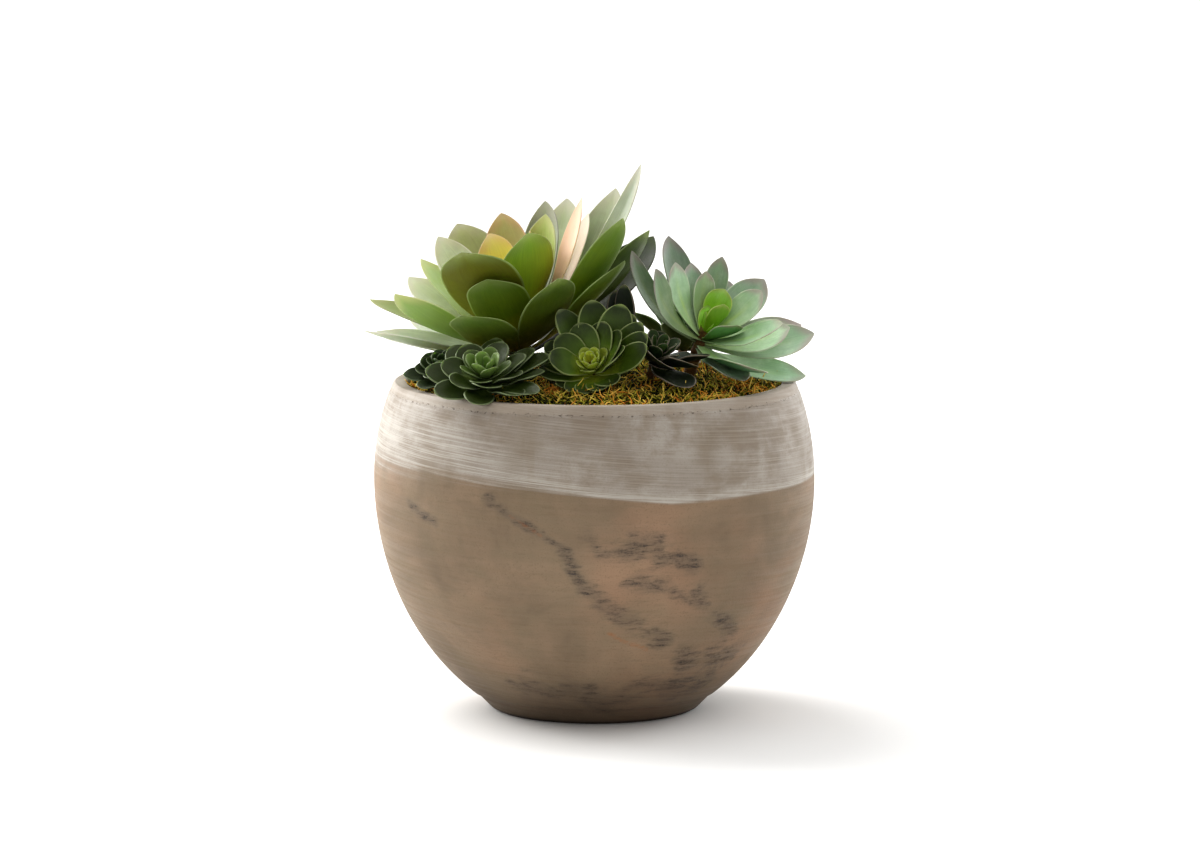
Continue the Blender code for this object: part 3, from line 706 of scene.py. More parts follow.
def leaf_patterns(skin, mottling, grain_scale, veining, sway):
    """Way along, distance off the midrib, three noises, and the way along bent by the first."""
    leaf_map = skin.node("UVMap", uv_map="leaf").outputs[0]
    across, along, _ = skin.parts(leaf_map)
    mottle = skin.noise(mottling, detail=4, rough=0.6)
    fine = skin.noise(grain_scale, rough=0.6)
    veins = skin.noise(1, (*veining, 1), rough=0.6, where=leaf_map)
    shifted = skin.add(along, skin.swing(mottle, sway))
    return along, skin.off(across, 0.5), mottle, fine, veins, shifted


def leaf_skin(name, face, under, rim, rib, tip, blush, bloom=0.3, tip_share=0.5, rib_share=0.5,
              glow=0.14):
    """face and under are three colours each, from neck to point.

    Each leaf's own numbers are added: light is painted light, which darkens its colour into
    painted shade below 1 and into a painted highlight above 1; yellow and warm tint it.
    """
    skin = Finish(name, roughness=LEAF_GLOSS, specular=0.28, subsurface=glow, depth=0.004,
                  tint=(0.8, 1.0, 0.5))
    along, off_middle, mottle, fine, veins, shifted = leaf_patterns(skin, 55, 420, (46, 3.2), 0.45)
    top, back = (skin.ramp(shifted, *zip((0.08, 0.48, 0.93), colours)) for colours in (face, under))
    rib_line = skin.times(skin.step(off_middle, 0.0, 0.16, 1, 0),
                          skin.step(along, 0.25, 0.95, 1, 0))
    top = skin.blend(skin.times(rib_line, rib_share), top, paint(*rib))
    powder = skin.times(skin.step(mottle, 0.38, 0.66), skin.step(fine, 0.2, 0.7, 0.5, 1.0))
    top = skin.blend(skin.times(powder, bloom), top, paint(205, 218, 200))
    # where the underside is darker than the face, that is partly its own colour and partly painted
    # shade
    colour = skin.blend(skin.value("under"), top, back)
    for streak, by in ((skin.step(veins, 0.45, 0.75, 0, 0.4), (1.35, 1.35, 1.2)),
                       (skin.step(veins, 0.25, 0.45, 0.4, 0), (0.66, 0.7, 0.66)),
                       (skin.value("yellow"), (1.04, 0.98, 0.34))):
        colour = skin.blend(streak, colour, skin.shade(colour, by))
    # painted highlight: a leaf whose light is above 1 is brightened here
    colour = skin.shade(colour, skin.sum("MAXIMUM", skin.value("light"), 1.0))
    warmth = skin.times(skin.value("warm"), skin.step(shifted, 0.0, 0.55, 0.45, 1.0))
    edge_line = skin.times(skin.step(off_middle, 0.468, 0.492),
                           skin.step(along, 0.2, 0.8, 0.3, 1.0))
    ends = skin.step(skin.add(along, skin.times(off_middle, 0.25)), 0.86, 1.02)
    for share, over in ((warmth, blush), (skin.times(edge_line, 0.8), rim),
                        (skin.times(ends, tip_share), tip)):
        colour = skin.blend(share, colour, paint(*over))
    # painted shade: a leaf whose light is below 1 is darkened here, rim and point with it
    colour = skin.shade(colour, skin.sum("MINIMUM", skin.value("light"), 1.0))
    skin.bump(skin.add(skin.times(veins, 0.7), skin.times(fine, 0.3)), 0.5 * MM, 0.35)
    return skin.done(colour, skin.step(mottle, 0.3, 0.7, LEAF_GLOSS - 0.1, LEAF_GLOSS + 0.12))


SKIN_COLOURS = {
    # the darker undersides are partly the leaves' own colour and partly painted shade
    # kind: face from neck to point, underside from neck to point, rim, rib, tip, blush, shares
    # pale and olive are partly painted light: pale is brighter for leaves where the light falls,
    # olive darker for leaves in shade; their yellow and orange are their own
    "pale": (((146, 160, 104), (166, 178, 150), (184, 192, 176)),
             ((116, 132, 90), (136, 150, 122), (152, 164, 142)),
             (226, 230, 214), (186, 200, 140), (206, 196, 178), (232, 196, 176), {"bloom": 0.45}),
    "fresh": (((140, 160, 70), (158, 178, 96), (166, 184, 124)),
              ((106, 128, 50), (120, 142, 66), (128, 150, 92)),
              (206, 214, 170), (176, 186, 96), (190, 184, 130), (220, 190, 120), {"bloom": 0.25}),
    "blush": (((178, 166, 92), (166, 162, 88), (158, 168, 104)),
              ((206, 158, 82), (196, 160, 90), (178, 168, 104)),
              (232, 196, 168), (204, 180, 96), (214, 160, 132), (238, 196, 172), {"bloom": 0.2}),
    "olive": (((150, 156, 60), (112, 134, 62), (96, 122, 78)),
              ((128, 120, 30), (88, 102, 30), (78, 100, 54)),
              (150, 166, 110), (140, 146, 60), (120, 132, 84), (128, 92, 34),
              {"bloom": 0.12, "glow": 0.12}),
    "teal": (((166, 192, 120), (150, 178, 140), (146, 174, 148)),
             ((72, 98, 50), (74, 102, 72), (88, 114, 94)),
             (196, 206, 180), (176, 198, 124), (166, 138, 144), (190, 160, 160),
             {"bloom": 0.4, "tip_share": 0.6, "rib_share": 0.65, "glow": 0.06}),
    "lime": (((140, 176, 50), (116, 156, 40), (120, 156, 70)),
             ((100, 134, 24), (90, 124, 24), (96, 128, 50)),
             (190, 206, 120), (160, 190, 70), (150, 150, 90), (190, 160, 160), {"bloom": 0.1}),
    # painted shade: this kind is the teal of the side rosette, darkened for its lower front leaves,
    # which stand in shadow
    "deep": (((112, 136, 88), (104, 130, 98), (110, 134, 112)),
             ((44, 66, 26), (50, 78, 48), (60, 88, 66)),
             (170, 180, 150), (120, 150, 70), (150, 126, 124), (150, 130, 120),
             {"bloom": 0.15, "glow": 0.12}),
}
SKINS = {kind: leaf_skin(f"{kind}_skin", *colours, **shares)
         for kind, (*colours, shares) in SKIN_COLOURS.items()}
print("leaf skins:", ", ".join(SKINS))

# %% [markdown]
# ## The two big rosettes
# Each row below is one ring of leaves, from the heart outwards: lean away from the stem, length,
# width, curl and twist, then the leaves as turn and kind of skin. The changes say how far single
# leaves depart from their ring, in turn, lean, length, width, curl and twist. All these numbers
# are those of the solids, in the same order, so each shell stands where its solid stands. Single
# leaves also take light, yellow and warm: light is painted light, painted shade below 1 and a
# painted highlight above 1, and yellow and warm tint the skin of their kind.

# %% From rings to one piece for each leaf
BIG_PLACES = {
    # place, radius of the stem, rise of the leaves along it, foot of the stem (mm)
    "large": (((-44, 12, 217), 20, 195), 5.0, 30, (-42, 13)),
    "side": (((65, -15, 230), 28, -45), 4.0, 18, (60, -8)),
}
PLAIN_PAINTED_LIGHT_AND_TINT, PHASE_STEP = (1.0, 0.0, 0.0), 1.9


def ring_rows(rings, changes):
    """Leaf rows of a big rosette: each ring's own numbers, plus what a leaf departs by."""
    rows = []
    for *shape, leaves in rings:
        for turn, kind in leaves:
            change = changes.get(len(rows) + 1, (0,) * 6)
            rows.append((*[value + extra for value, extra in zip((turn, *shape), change)], kind))
    return rows


def big_leaves(rosette, rows, painted_light_and_tints):
    """One piece for each leaf of a big rosette."""
    place, stem, rise, _ = BIG_PLACES[rosette]
    for number, (*shape, kind) in enumerate(rows, 1):
        name = f"{rosette}_leaf_{number:02d}"
        blade = leaf(*shape, stem=stem, rise=rise, phase=number * PHASE_STEP)
        # light is painted light: painted shade below 1, a painted highlight above 1
        light, yellow, warm = painted_light_and_tints.get(number, PLAIN_PAINTED_LIGHT_AND_TINT)
        leaf_piece(name + "_blade", [blade], place, SKINS[kind], f"{kind}_leaf", [name],
                   light=[light], yellow=[yellow], warm=[warm])
    print("leaves of the", rosette, "rosette:", len(rows))


# %% Leaves of the large rosette
# pale for the leaves at the back and left, where the light falls, painted brighter; olive for the
# front and right leaves in shade, painted darker
LARGE_RINGS = (
    (20, 65, 30, 30, 0, ((55, "blush"), (-60, "blush"), (20, "blush"))),
    (35, 85, 40, 22, 0, ((-40, "olive"), (-100, "olive"), (20, "fresh"), (105, "pale"),
                         (130, "pale"))),
    (45, 90, 35, 30, 5, ((135, "fresh"), (-150, "fresh"), (-95, "olive"), (45, "pale"),
                         (10, "pale"), (-15, "blush"))),
    (57, 100, 36, 28, 5, ((140, "pale"), (160, "fresh"), (-105, "olive"), (-60, "olive"),
                          (55, "pale"), (40, "pale"), (0, "pale"), (-20, "olive"))),
    (65, 100, 36, 20, 0, ((-165, "pale"), (170, "pale"), (-35, "olive"), (15, "olive"),
                          (35, "olive"), (95, "pale"), (130, "pale"))),
)
LARGE_CHANGES = {
    1: (0, 0, 10, 5, 0, 5), 2: (0, -10, 0, 0, 0, 0), 3: (-5, 6, 0, -8, 0, -10),
    4: (0, -5, -10, 5, 10, -15), 5: (0, 0, 5, 12, -10, -10), 6: (5, -1, -6, -9, 0, 20),
    7: (0, -1, 3, -2, 0, 0), 8: (0, -7, -5, -10, 0, 0), 9: (0, -3, -5, -8, 0, 10),
    10: (0, 1, 0, 0, 10, 10), 11: (5, -2, -15, 5, -20, -20), 12: (2, -4, 4, -3, 0, 0),
    13: (0, 2, 2, -5, 5, 5), 14: (0, -3, 14, -11, 0, 25), 15: (0, -7, -12, 0, 0, 0),
    16: (0, -1, 0, -5, -15, 0), 17: (-3, -1, -20, 4, 0, -15), 18: (-2, 3, 2, 2, 2, -10),
    19: (0, -2, 16, 0, 0, 5), 20: (0, 3, 30, 0, 10, 10), 21: (0, -5, 38, -21, 3, 35),
    22: (-2, -1, 15, -9, 0, -40), 23: (2, -5, 3, -6, 0, 5), 24: (-5, 0, -8, -2, 0, 0),
    25: (10, 0, -2, -1, 5, -10), 26: (3, 3, 12, -10, 10, -50), 27: (0, 10, 25, 0, 0, 30),
    28: (0, 0, 0, 0, -8, 0), 29: (0, 5, 0, 0, -8, 0),
}
# light (painted shade below 1, painted highlight above 1), yellow and warm of single leaves
LARGE_PAINTED_LIGHT_AND_TINTS = {
    1: (0.75, 0.4, 0.25), 2: (1.5, 0.5, 0.3), 3: (1, 0.2, 0.7), 4: (2.8, 0.9, 0),
    5: (1.0, 0.9, 0.3), 6: (0.9, 0.6, 0), 7: (0.7, 0.6, 0.1), 8: (1.1, 0.1, 0), 9: (1.1, 0, 0),
    10: (1.2, 0.1, 0), 11: (1.3, 0.8, 0), 12: (0.5, 0.3, 0), 13: (0.9, 0.1, 0.6),
    14: (1.3, 0, 0.9), 15: (1.3, 0.1, 0.1), 16: (0.6, 0.4, 0), 17: (1.6, 0.5, 0),
    18: (0.8, 0.9, 0), 19: (0.8, 0.3, 0), 20: (0.65, 0.3, 0), 21: (0.8, 0, 0), 22: (1.7, 0.6, 0),
    23: (1.1, 0.1, 0), 24: (1.2, 0.1, 0), 25: (1.6, 0.8, 0), 26: (0.6, 0.7, 0), 27: (0.1, 0.8, 0),
}
big_leaves("large", ring_rows(LARGE_RINGS, LARGE_CHANGES), LARGE_PAINTED_LIGHT_AND_TINTS)

# %% Leaves of the side rosette
# the darker teal kind marks the leaves in shadow: painted shade
SIDE_RINGS = (
    (15, 28, 18, 30, 0, ((75, "lime"), (-60, "lime"), (-45, "deep"))),
    (32, 45, 21, 28, 0, ((20, "teal"), (125, "teal"), (165, "teal"))),
    (45, 53, 26, 20, 5, ((125, "teal"), (95, "teal"), (55, "teal"), (0, "teal"), (-155, "teal"),
                         (-40, "deep"))),
    (60, 70, 26, 20, 5, ((130, "teal"), (155, "teal"), (5, "teal"), (30, "teal"), (80, "teal"))),
    (75, 65, 27, 20, 0, ((-60, "deep"), (5, "deep"), (-60, "deep"), (75, "teal"))),
)
SIDE_CHANGES = {
    2: (0, -5, -4, -3, 0, 0), 3: (0, 25, 2, 4, 0, -10), 4: (0, 0, 0, 0, 0, 20),
    5: (0, -5, -7, -4, 0, 0), 6: (4, 6, 5, -5, 10, -38), 7: (0, 0, -6, -6, 0, 0),
    8: (1, -9, -2, -10, 8, 0), 9: (0, 7, 5, 0, 5, 0), 10: (-2, 12, 2, -2, 15, 25),
    11: (2, 2, 15, -3, 30, -45), 12: (0, 3, 12, -2, 10, 25), 13: (0, -5, 0, 0, 0, 0),
    14: (4, 1, 0, -8, 40, -15), 15: (0, 5, 0, 0, 15, 20), 16: (0, 13, 0, 2, 0, 0),
    17: (0, 5, -15, 0, -10, -10), 18: (0, -6, 8, 0, 10, -10), 19: (0, 12, 4, 0, 12, 5),
    20: (0, 4, -12, 0, -8, 0), 21: (0, 8, 8, 0, -8, 8),
}
# light (painted shade below 1, painted highlight above 1), yellow and warm of single leaves
SIDE_PAINTED_LIGHT_AND_TINTS = {
    1: (1.6, 0.1, 0), 2: (1.5, 0.3, 0), 3: (3.5, 0.5, 0), 4: (1.2, 0.1, 0), 5: (0.9, 0.3, 0),
    6: (1.3, 0, 0), 7: (1.1, 0, 0), 8: (0.7, 0.1, 0), 9: (0.9, 0, 0), 10: (1.8, 0.1, 0),
    11: (0.6, 0.2, 0), 12: (1.8, 0.1, 0), 13: (0.5, 0, 0), 14: (0.5, 0.2, 0), 15: (1.2, 0, 0),
    16: (1.0, 0, 0.3), 17: (0.8, 0, 0), 18: (2.4, 0, 0), 19: (2.6, 0, 0), 20: (1.5, 0, 0),
    21: (1.2, 0, 0),
}
big_leaves("side", ring_rows(SIDE_RINGS, SIDE_CHANGES), SIDE_PAINTED_LIGHT_AND_TINTS)

# %% [markdown]
# ## The small rosettes
# Young rosettes put out leaves in a steady spiral, each 137.5 degrees on from the last, so no
# leaf sits right above another. Crowded in a pot, the older leaves bend away from what they
# meet, so the heart is a spiral (count, first turn, leans, lengths, width ratio) and the older
# leaves stand in rings (count, first and last turn, lean, length, width, curl, twist).
# The number "age" tells the finish how old a leaf is, from 0 in the heart to 1 at the outside.

# %% Where the small rosettes stand, their hearts and their rings
GOLDEN_ANGLE, GROWTH_POWER, CURL_IN, CURL_OUT = 137.5, 0.8, 30, 14
SMALL_LEAF = {"rows": 22, "columns": 9, "rim": 0.42, "channel": 0.35, "end": ROUNDED}
SMALL_PLACES = {
    # place, stem radius, rise, foot of the stem (mm)
    "front_left": (((-67, -80, 217), 26, -100), 3.0, 10, (-65, -75)),
    "far_left": (((-93, -42, 216), 24, -120), 3.0, 8, (-90, -39)),
    "centre": (((1, -60, 219), 40, -110), 3.0, 12, (3, -53)),
    "shaded": (((37, -46, 225), 24, -50), 3.0, 10, (34, -43)),
    "back": (((57, 66, 219), 20, 55), 3.5, 12, (54, 62)),
}
SMALL_LEAVES = {
    "front_left": ((13, 50, 8, 62, 9, 22, 0.66), (
        (7, 15, 325, 65, 28, 19, 24, -12), (8, -10, 305, 77, 37, 19, 26, -15),
        (2, -40, 20, 80, 42, 18, 10, -5))),
    "far_left": ((13, 80, 6, 60, 8, 17, 0.75), (
        (5, 27, 313, 64, 18, 15, 22, 0), (6, -5, 295, 76, 25, 15, 22, -5))),
    "centre": ((14, 40, 6, 46, 7, 15, 0.62), (
        (6, -22, 178, 48, 30, 20, 28, -10), (3, 47, 112, 55, 44, 22, 32, 30),
        (5, -150, -60, 68, 27, 16, 24, -5),
        (4, -12, 36, 61, 42, 17, 30, 25), (3, 144, 186, 65, 35, 18, 18, 0))),
    "shaded": ((16, 15, 12, 74, 9, 24, 0.54), (
        (3, -88, -8, 64, 34, 22, 18, -20), (1, -62, -62, 80, 44, 24, 12, 5))),
    "back": ((26, 60, 10, 80, 12, 44, 0.50), ()),
}


def small_leaves(stem, rise, numbers, rings):
    """Spiral leaves (lean and length rise with age) and ring leaves, with the age of each."""
    older_rows = [(turn, *shape) for count, first, last, *shape in rings
                  for turn in np.linspace(first, last, count)]
    count, first, lean_in, lean_out, length_in, length_out, ratio = numbers
    ages = [(index + 0.5) / count for index in range(count)]
    lengths = [length_in + (length_out - length_in) * age ** GROWTH_POWER for age in ages]
    rows = [(first + index * GOLDEN_ANGLE, lean_in + (lean_out - lean_in) * age, length,
             ratio * length, CURL_IN + (CURL_OUT - CURL_IN) * age, 0)
            for index, (age, length) in enumerate(zip(ages, lengths))]
    longest = max([length_out] + [row[2] for row in older_rows])
    shown_ages = [0.9 * age * length_out / longest for age in ages]
    shown_ages += [min(1.0, max(0.0, (row[2] - 12) / (longest - 16))) for row in older_rows]
    shapes = [leaf(*row, stem=stem, rise=rise, core=0.8 + 0.4 * age, ruffle=0.15,
                   phase=index * 2.3, **SMALL_LEAF)
              for index, (row, age) in enumerate(zip(rows + older_rows, shown_ages))]
    return shapes, shown_ages


# %% Finish of the small rosettes
ROSETTE_GLOSS = 0.42


def rosette_skin(name, heart, young, neck, old, old_tip, under, rim):
    """Like a leaf's skin, but the colours also change with age, from the heart outwards."""
    skin = Finish(name, roughness=ROSETTE_GLOSS, specular=0.26, subsurface=0.15, depth=0.003,
                  tint=(0.7, 1.0, 0.25))
    along, off_middle, mottle, fine, veins, shifted = leaf_patterns(skin, 90, 600, (30, 3), 0.4)
    age, rim = skin.value("age"), paint(*rim)
    outer = skin.ramp(shifted, (0.12, neck), (0.5, old), (0.95, old_tip))
    inner = skin.ramp(shifted, (0.1, heart), (0.95, young))
    top = skin.blend(skin.step(age, 0.05, 0.55), inner, outer)
    # the dark underside of older leaves is partly their own colour and partly painted shade
    back = skin.blend(skin.step(age, 0.05, 0.6), paint(*young), paint(*under))
    colour = skin.blend(skin.value("under"), top, back)
    darker = skin.shade(colour, (0.6, 0.64, 0.6))
    colour = skin.blend(skin.step(veins, 0.3, 0.7, 0.3, 0), colour, darker)
    colour = skin.blend(skin.step(off_middle, 0.462, 0.49, 0, 0.6), colour, rim)
    colour = skin.blend(skin.step(along, 0.93, 1.0, 0, 0.5), colour, rim)
    skin.bump(skin.add(skin.times(veins, 0.6), skin.times(fine, 0.4)), 0.4 * MM, 0.35)
    gloss = skin.step(mottle, 0.3, 0.7, ROSETTE_GLOSS - 0.08, ROSETTE_GLOSS + 0.12)
    return skin.done(colour, gloss)


ROSETTE_COLOURS = {
    # heart, young, then neck, middle and tip of old leaves, underside, rim
    "front_left": ((110, 142, 62), (126, 152, 80), (132, 154, 72), (54, 70, 20), (52, 62, 28),
                   (46, 54, 34), (136, 148, 112)),
    "far_left": ((46, 70, 28), (58, 78, 40), (90, 108, 44), (40, 54, 24), (46, 56, 34),
                 (34, 44, 26), (110, 122, 92)),
    "centre": ((186, 186, 48), (180, 194, 74), (166, 180, 56), (84, 108, 30), (46, 58, 26),
               (46, 54, 34), (158, 168, 116)),
    # painted shade: this rosette stands in shadow among the others, so its own dark green is
    # painted darker still
    "shaded": ((50, 72, 26), (60, 82, 38), (96, 118, 48), (36, 48, 24), (40, 46, 36),
               (32, 40, 30), (150, 136, 124)),
    "back": ((150, 172, 90), (150, 174, 108), (150, 174, 100), (130, 156, 108), (130, 152, 122),
             (80, 104, 70), (186, 198, 166)),
}
ROSETTE_SKINS = {rosette: rosette_skin(f"{rosette}_skin", *colours)
                 for rosette, colours in ROSETTE_COLOURS.items()}
print("skins of the small rosettes:", ", ".join(ROSETTE_SKINS))

# %% The small rosettes and three upright leaves between them
UPRIGHT_PLACE = ((19, -33, 218), 3, 180)
# turn, lean, length and width
UPRIGHT_LEAVES = ((100, 14, 46, 16), (60, 4, 48, 15), (165, 20, 42, 15))
upright = [leaf(*row, 14, stem=3.0, rise=8, core=1.3, ruffle=0.25, phase=row[0], **SMALL_LEAF)
           for row in UPRIGHT_LEAVES]
# the upright leaves take the shaded rosette's skin, and with it its painted shade
leaf_piece("upright_leaves", upright, UPRIGHT_PLACE, ROSETTE_SKINS["shaded"], "shaded_rosette", [],
           age=[1.0] * len(upright))
for rosette, (place, stem, rise, foot) in SMALL_PLACES.items():
    shapes, ages = small_leaves(stem, rise, *SMALL_LEAVES[rosette])
    leaf_piece(f"{rosette}_rosette_leaves", shapes, place, ROSETTE_SKINS[rosette],
               f"{rosette}_rosette", [f"{rosette}_rosette"], age=ages)
    print(rosette, "rosette has", len(shapes), "leaves")

# %% [markdown]
# ## Stems and hearts
# Each big rosette stands on a thick short stem that comes up through the moss. It is a tube
# along a bent path, ringed with the scars of old leaves. The hearts are a few small leaves that
# close the spiral.

# %% Stems
def moss_height(radius):
    """Height of the moss at a distance from the axis: highest in the middle, a parabola."""
    edge = float(bowl_radius(MOSS_EDGE_TOP, WALL))
    return MOSS_EDGE_TOP + MOSS_CROWN * (1 - (radius / edge) ** 2)


STEM_BOTTOM, SMOOTHINGS = 152 * MM, 6


def stem_tube(foot, place, thick, rise, rings=46, sides=28):
    """Rings along a smooth curve through foot, moss and heart, swelling at each leaf scar."""
    foot = Vector((foot[0] * MM, foot[1] * MM, 0))
    heart = placed(np.array([[0, 0, -2 * MM], [0, 0, rise * MM]]), *place)
    stops = np.array([(*foot.xy, STEM_BOTTOM), (*foot.xy, moss_height(foot.length) + MM), *heart])
    t = np.linspace(0, 3, rings)
    path = np.stack([np.interp(t, range(4), stops[:, axis]) for axis in range(3)], -1)
    for _ in range(SMOOTHINGS):
        path[1:-1] = (path[:-2] + 2 * path[1:-1] + path[2:]) / 4
    along = np.gradient(path, axis=0)
    along /= np.linalg.norm(along, axis=1, keepdims=True)
    first = np.cross(along, (0, 1, 0))
    first /= np.linalg.norm(first, axis=1, keepdims=True)
    second = np.cross(along, first)
    angle = np.linspace(0, 2 * math.pi, sides, endpoint=False)
    scars = 1 + 0.07 * np.sin(t[:, None] * 22 + 2 * angle)
    width = thick * MM * (1 - 0.1 * t / 3)[:, None] * scars
    ring = first[:, None] * np.cos(angle)[:, None] + second[:, None] * np.sin(angle)[:, None]
    points = (path[:, None] + ring * width[..., None]).reshape(-1, 3)
    points = np.concatenate([points, path[:1], path[-1:]])
    return points, ring_quads(rings, sides), end_fans(rings, sides)


bark = Finish("stem_skin", roughness=0.75, specular=0.25)
rough_bark = bark.noise(160, (1, 1, 2.2), 5, 0.65)
bark_colour = bark.ramp(rough_bark, (0.3, (70, 48, 28)), (0.52, (112, 82, 48)),
                        (0.72, (126, 122, 66)))
bark.bump(rough_bark, 1 * MM, 0.7)
stem_skin = bark.done(bark_colour, bark.step(rough_bark, 0.3, 0.7, 0.85, 0.6))
for name, (place, thick, rise, foot) in BIG_PLACES.items():
    make_piece(name + "_stem_bark", *stem_tube(foot, place, thick, rise), stem_skin, "stem",
               [name + "_stem"])
for name, (place, thick, rise, foot) in SMALL_PLACES.items():
    make_piece(name + "_stem_bark", *stem_tube(foot, place, 0.9 * thick, rise, 30, 16), stem_skin,
               "stem", [])
print("stems:", len(BIG_PLACES) + len(SMALL_PLACES))

# %% Hearts of the big rosettes
def heart(rosette, kind, count, stem, rise, painted_light_and_tint, *growth):
    """A spiral of small leaves; growth is (first, step) for turn, lean, length and width."""
    leaves = [leaf(*(first + step * k for first, step in growth), CURL_IN, stem=stem, rise=rise,
                   rows=24, columns=9, phase=k) for k in range(count)]
    # light is painted light: above 1 a painted highlight, below 1 painted shade
    light, yellow, warm = ([value] * count for value in painted_light_and_tint)
    return leaf_piece(f"{rosette}_heart_leaves", leaves, BIG_PLACES[rosette][0], SKINS[kind],
                      f"{kind}_leaf", [], light=light, yellow=yellow, warm=warm)


# the three numbers after the rise are light, yellow and warm; light is painted light, and the side
# heart's 2.6 is a painted highlight
large_heart = heart("large", "blush", 5, 2.5, 24, (1.0, 0.2, 0.3),
                    (0, GOLDEN_ANGLE), (8, 5), (24, 5), (13, 1.5))
heart("side", "lime", 4, 2.0, 15, (2.6, 0.1, 0.0), (60, GOLDEN_ANGLE), (5, 6), (13, 2), (8, 1))
print("triangles in one heart:", 2 * len(large_heart.data.polygons))

# %% [markdown]
# ## Soil and moss
# Under the moss lies dark potting mix, which hardly shows. The moss itself is dried sheet moss:
# a lumpy mat with thousands of curled strands on it, yellow-green to golden and rust brown. The
# mat is one grid of rings. Each strand is a thin three-sided tube along a path that turns as it
# goes, and all strands of a piece are computed together, so a few thousand cost no time.

# %% Soil
mix = Finish("potting_mix", roughness=0.95, specular=0.15)
crumbs = mix.noise(180, detail=6, rough=0.7)
mix.bump(crumbs, 2 * MM)
mix_colour = mix.ramp(crumbs, (0.35, (34, 25, 18)), (0.6, (70, 52, 36)), (0.75, (120, 96, 66)))
soil_finish = mix.done(mix_colour, mix.step(crumbs, 0.3, 0.7, 1.0, 0.85))
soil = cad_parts["soil"]
soil.material_slots[0].material = soil_finish
print("the soil is now", soil.material_slots[0].material.name)

# %% The moss mat
dice = np.random.default_rng(11)
MAT_COLUMNS, MAT_ROWS, UNDER_ROWS, MAT_SINK = 220, 74, 8, 1.5 * MM


def lumps(x, y, size, waves=14):
    """Smooth uneven ground between about -1 and 1: a sum of cosines in random directions."""
    total = np.zeros_like(x)
    bearings, phases = dice.uniform(0, 2 * math.pi, waves), dice.uniform(0, 2 * math.pi, waves)
    for bearing, phase, pace in zip(bearings, phases, dice.uniform(0.6, 1.5, waves)):
        walked = x * math.cos(bearing) + y * math.sin(bearing)
        total += np.cos(walked * 2 * math.pi * pace / size + phase)
    return total / math.sqrt(waves) / 1.4


def moss_finish():
    """Colours by the tint of each strand and by broad patches; the near-black end is painted shade.
    """
    moss = Finish("dried_moss", roughness=0.85, specular=0.2, subsurface=0.02, depth=0.002,
                  tint=(1.0, 0.8, 0.2))
    patches = moss.noise(34)
    crumble = moss.noise(700, rough=0.6)
    mixed = moss.add(moss.times(moss.value("tint"), 0.62), moss.times(patches, 0.55))
    mixed = moss.add(mixed, moss.swing(crumble, 0.25))
    # painted shade: the near-black first stop, reached on the mat and at the strand roots, stands
    # for the shadow between strands
    colour = moss.ramp(mixed, (0.22, (8, 8, 2)), (0.38, (72, 72, 14)), (0.5, (178, 174, 56)),
                       (0.64, (248, 216, 112)), (0.8, (232, 156, 58)), (0.95, (124, 70, 26)))
    moss.bump(crumble, 0.6 * MM, 0.6)
    return moss.done(colour, moss.step(crumble, 0.3, 0.7, 0.95, 0.7))


dried_moss = moss_finish()
mat_edge = float(bowl_radius(MOSS_EDGE_TOP, WALL)) - 0.8 * MM
over = np.linspace(0.02, 1, MAT_ROWS) ** 0.8 * mat_edge
below = np.linspace(1, 0.02, UNDER_ROWS) * mat_edge
mat_radius = np.concatenate([over, [mat_edge], below])[:, None]
mat_depth = np.concatenate([np.zeros(len(over)), [5 * MM], np.full(UNDER_ROWS, 9 * MM)])[:, None]
mat_turn = np.linspace(0, 2 * math.pi, MAT_COLUMNS, endpoint=False)
mat_x, mat_y = mat_radius * np.cos(mat_turn), mat_radius * np.sin(mat_turn)
rough = (1.6 * lumps(mat_x, mat_y, 0.03) + 1.0 * lumps(mat_x, mat_y, 0.009)) * MM
mat_z = moss_height(mat_radius) - mat_depth - MAT_SINK + rough * (mat_depth == 0)
mat = np.stack([mat_x, mat_y, np.broadcast_to(mat_z, mat_x.shape)], -1).reshape(-1, 3)
mat = np.concatenate([mat, [[0, 0, mat_z[0].mean()], [0, 0, mat_z[-1].mean()]]])
moss_mat = make_piece("moss_mat", mat, ring_quads(len(mat_radius), MAT_COLUMNS),
                      end_fans(len(mat_radius), MAT_COLUMNS), dried_moss, "moss", ["moss"])
# painted shade: the mat's tint stays near zero, so the mat shows near black under the strands
give_values(moss_mat, tint=0.02 + 0.1 * lumps(mat[:, 0], mat[:, 1], 0.012))
print("moss mat triangles:", 2 * len(moss_mat.data.polygons))

# %% Curled strands
STEPS, SIDES, STRANDS = 9, 3, 2700


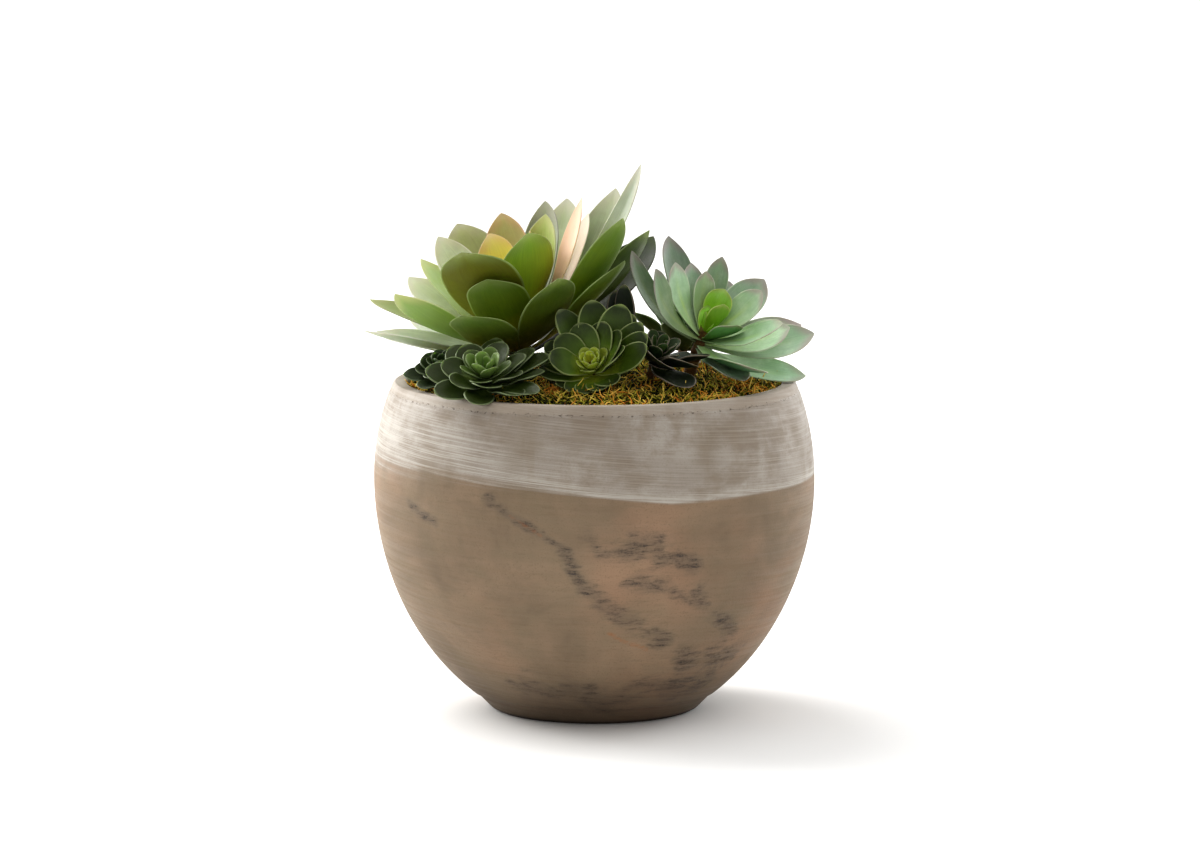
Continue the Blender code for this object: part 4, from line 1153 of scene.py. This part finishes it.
def strands(name, x, y, longest, thick):
    """Curled strands rooted at (x, y): a path that turns and lifts as it goes, then a thin tube."""
    count = len(x)
    share = np.linspace(0, 1, STEPS)
    heading = (dice.uniform(0, 2 * math.pi, count)[:, None]
               + dice.uniform(-5, 5, count)[:, None] * share)
    lift = dice.uniform(-0.1, 0.9, count)[:, None] + dice.uniform(-2.6, 0.6, count)[:, None] * share
    forward = np.cos(lift)
    step = np.stack([np.cos(heading) * forward, np.sin(heading) * forward, np.sin(lift)], -1)
    length = dice.uniform(0.4, 1, count) * longest
    root = np.stack([x, y, moss_height(np.hypot(x, y)) - MAT_SINK], -1)
    path = root[:, None] + np.cumsum(step, 1) * (length / STEPS)[:, None, None]
    level = np.stack([-np.sin(heading), np.cos(heading), np.zeros_like(heading)], -1)
    raised = np.cross(step, level)
    angle = np.array([0, 2, 4]) * math.pi / SIDES
    width = dice.uniform(0.6, 1.2, count)[:, None] * thick * (1 - 0.65 * share ** 2)
    width = width[..., None, None]
    tube = path[:, :, None] + width * (level[:, :, None] * np.cos(angle)[:, None]
                                       + raised[:, :, None] * np.sin(angle)[:, None])
    limit = float(bowl_radius(MOSS_EDGE_TOP, WALL)) + 1.5 * MM
    reach = np.hypot(tube[..., 0], tube[..., 1])
    tube[..., :2] *= np.minimum(1, limit / np.maximum(reach, 1e-6))[..., None]
    points = np.concatenate([tube.reshape(count, -1, 3), tube[:, 0].mean(1, keepdims=True),
                             tube[:, -1].mean(1, keepdims=True)], 1)
    each = points.shape[1]
    starts = (np.arange(count) * each)[:, None, None]
    quads = (ring_quads(STEPS, SIDES)[None] + starts).reshape(-1, 4)
    fans = (end_fans(STEPS, SIDES)[None] + starts).reshape(-1, 3)
    piece = make_piece(name, points.reshape(-1, 3), quads, fans, dried_moss, "moss", [])
    tint = np.clip(0.5 + 0.3 * lumps(x, y, 0.05) + dice.normal(0, 0.26, count), 0, 1)
    shade = np.repeat(tint, each).reshape(count, each)
    # painted shade at the root, where the strands lie in each other's shadow
    shade[:, :3 * SIDES] *= 0.3   # darker at the root
    give_values(piece, tint=shade)
    return piece


def scattered(count, reach):
    """Even scatter over a disc: radius = reach * sqrt(chance)."""
    radius = reach * np.sqrt(dice.uniform(0, 1, count))
    turn = dice.uniform(0, 2 * math.pi, count)
    return radius * np.cos(turn), radius * np.sin(turn)


for layer in range(2):
    strands(f"moss_curls_{layer + 1}", *scattered(STRANDS, mat_edge), 15 * MM, 0.6 * MM)
ring_turn = dice.uniform(-math.pi, 0, STRANDS)
ring_radius = mat_edge * (1 - 0.42 * dice.uniform(0, 1, STRANDS) ** 1.3)
front = strands("moss_curls_front", ring_radius * np.cos(ring_turn),
                ring_radius * np.sin(ring_turn), 13 * MM, 0.55 * MM)
print("triangles in one layer of strands:", sum(len(f.vertices) - 2 for f in front.data.polygons))
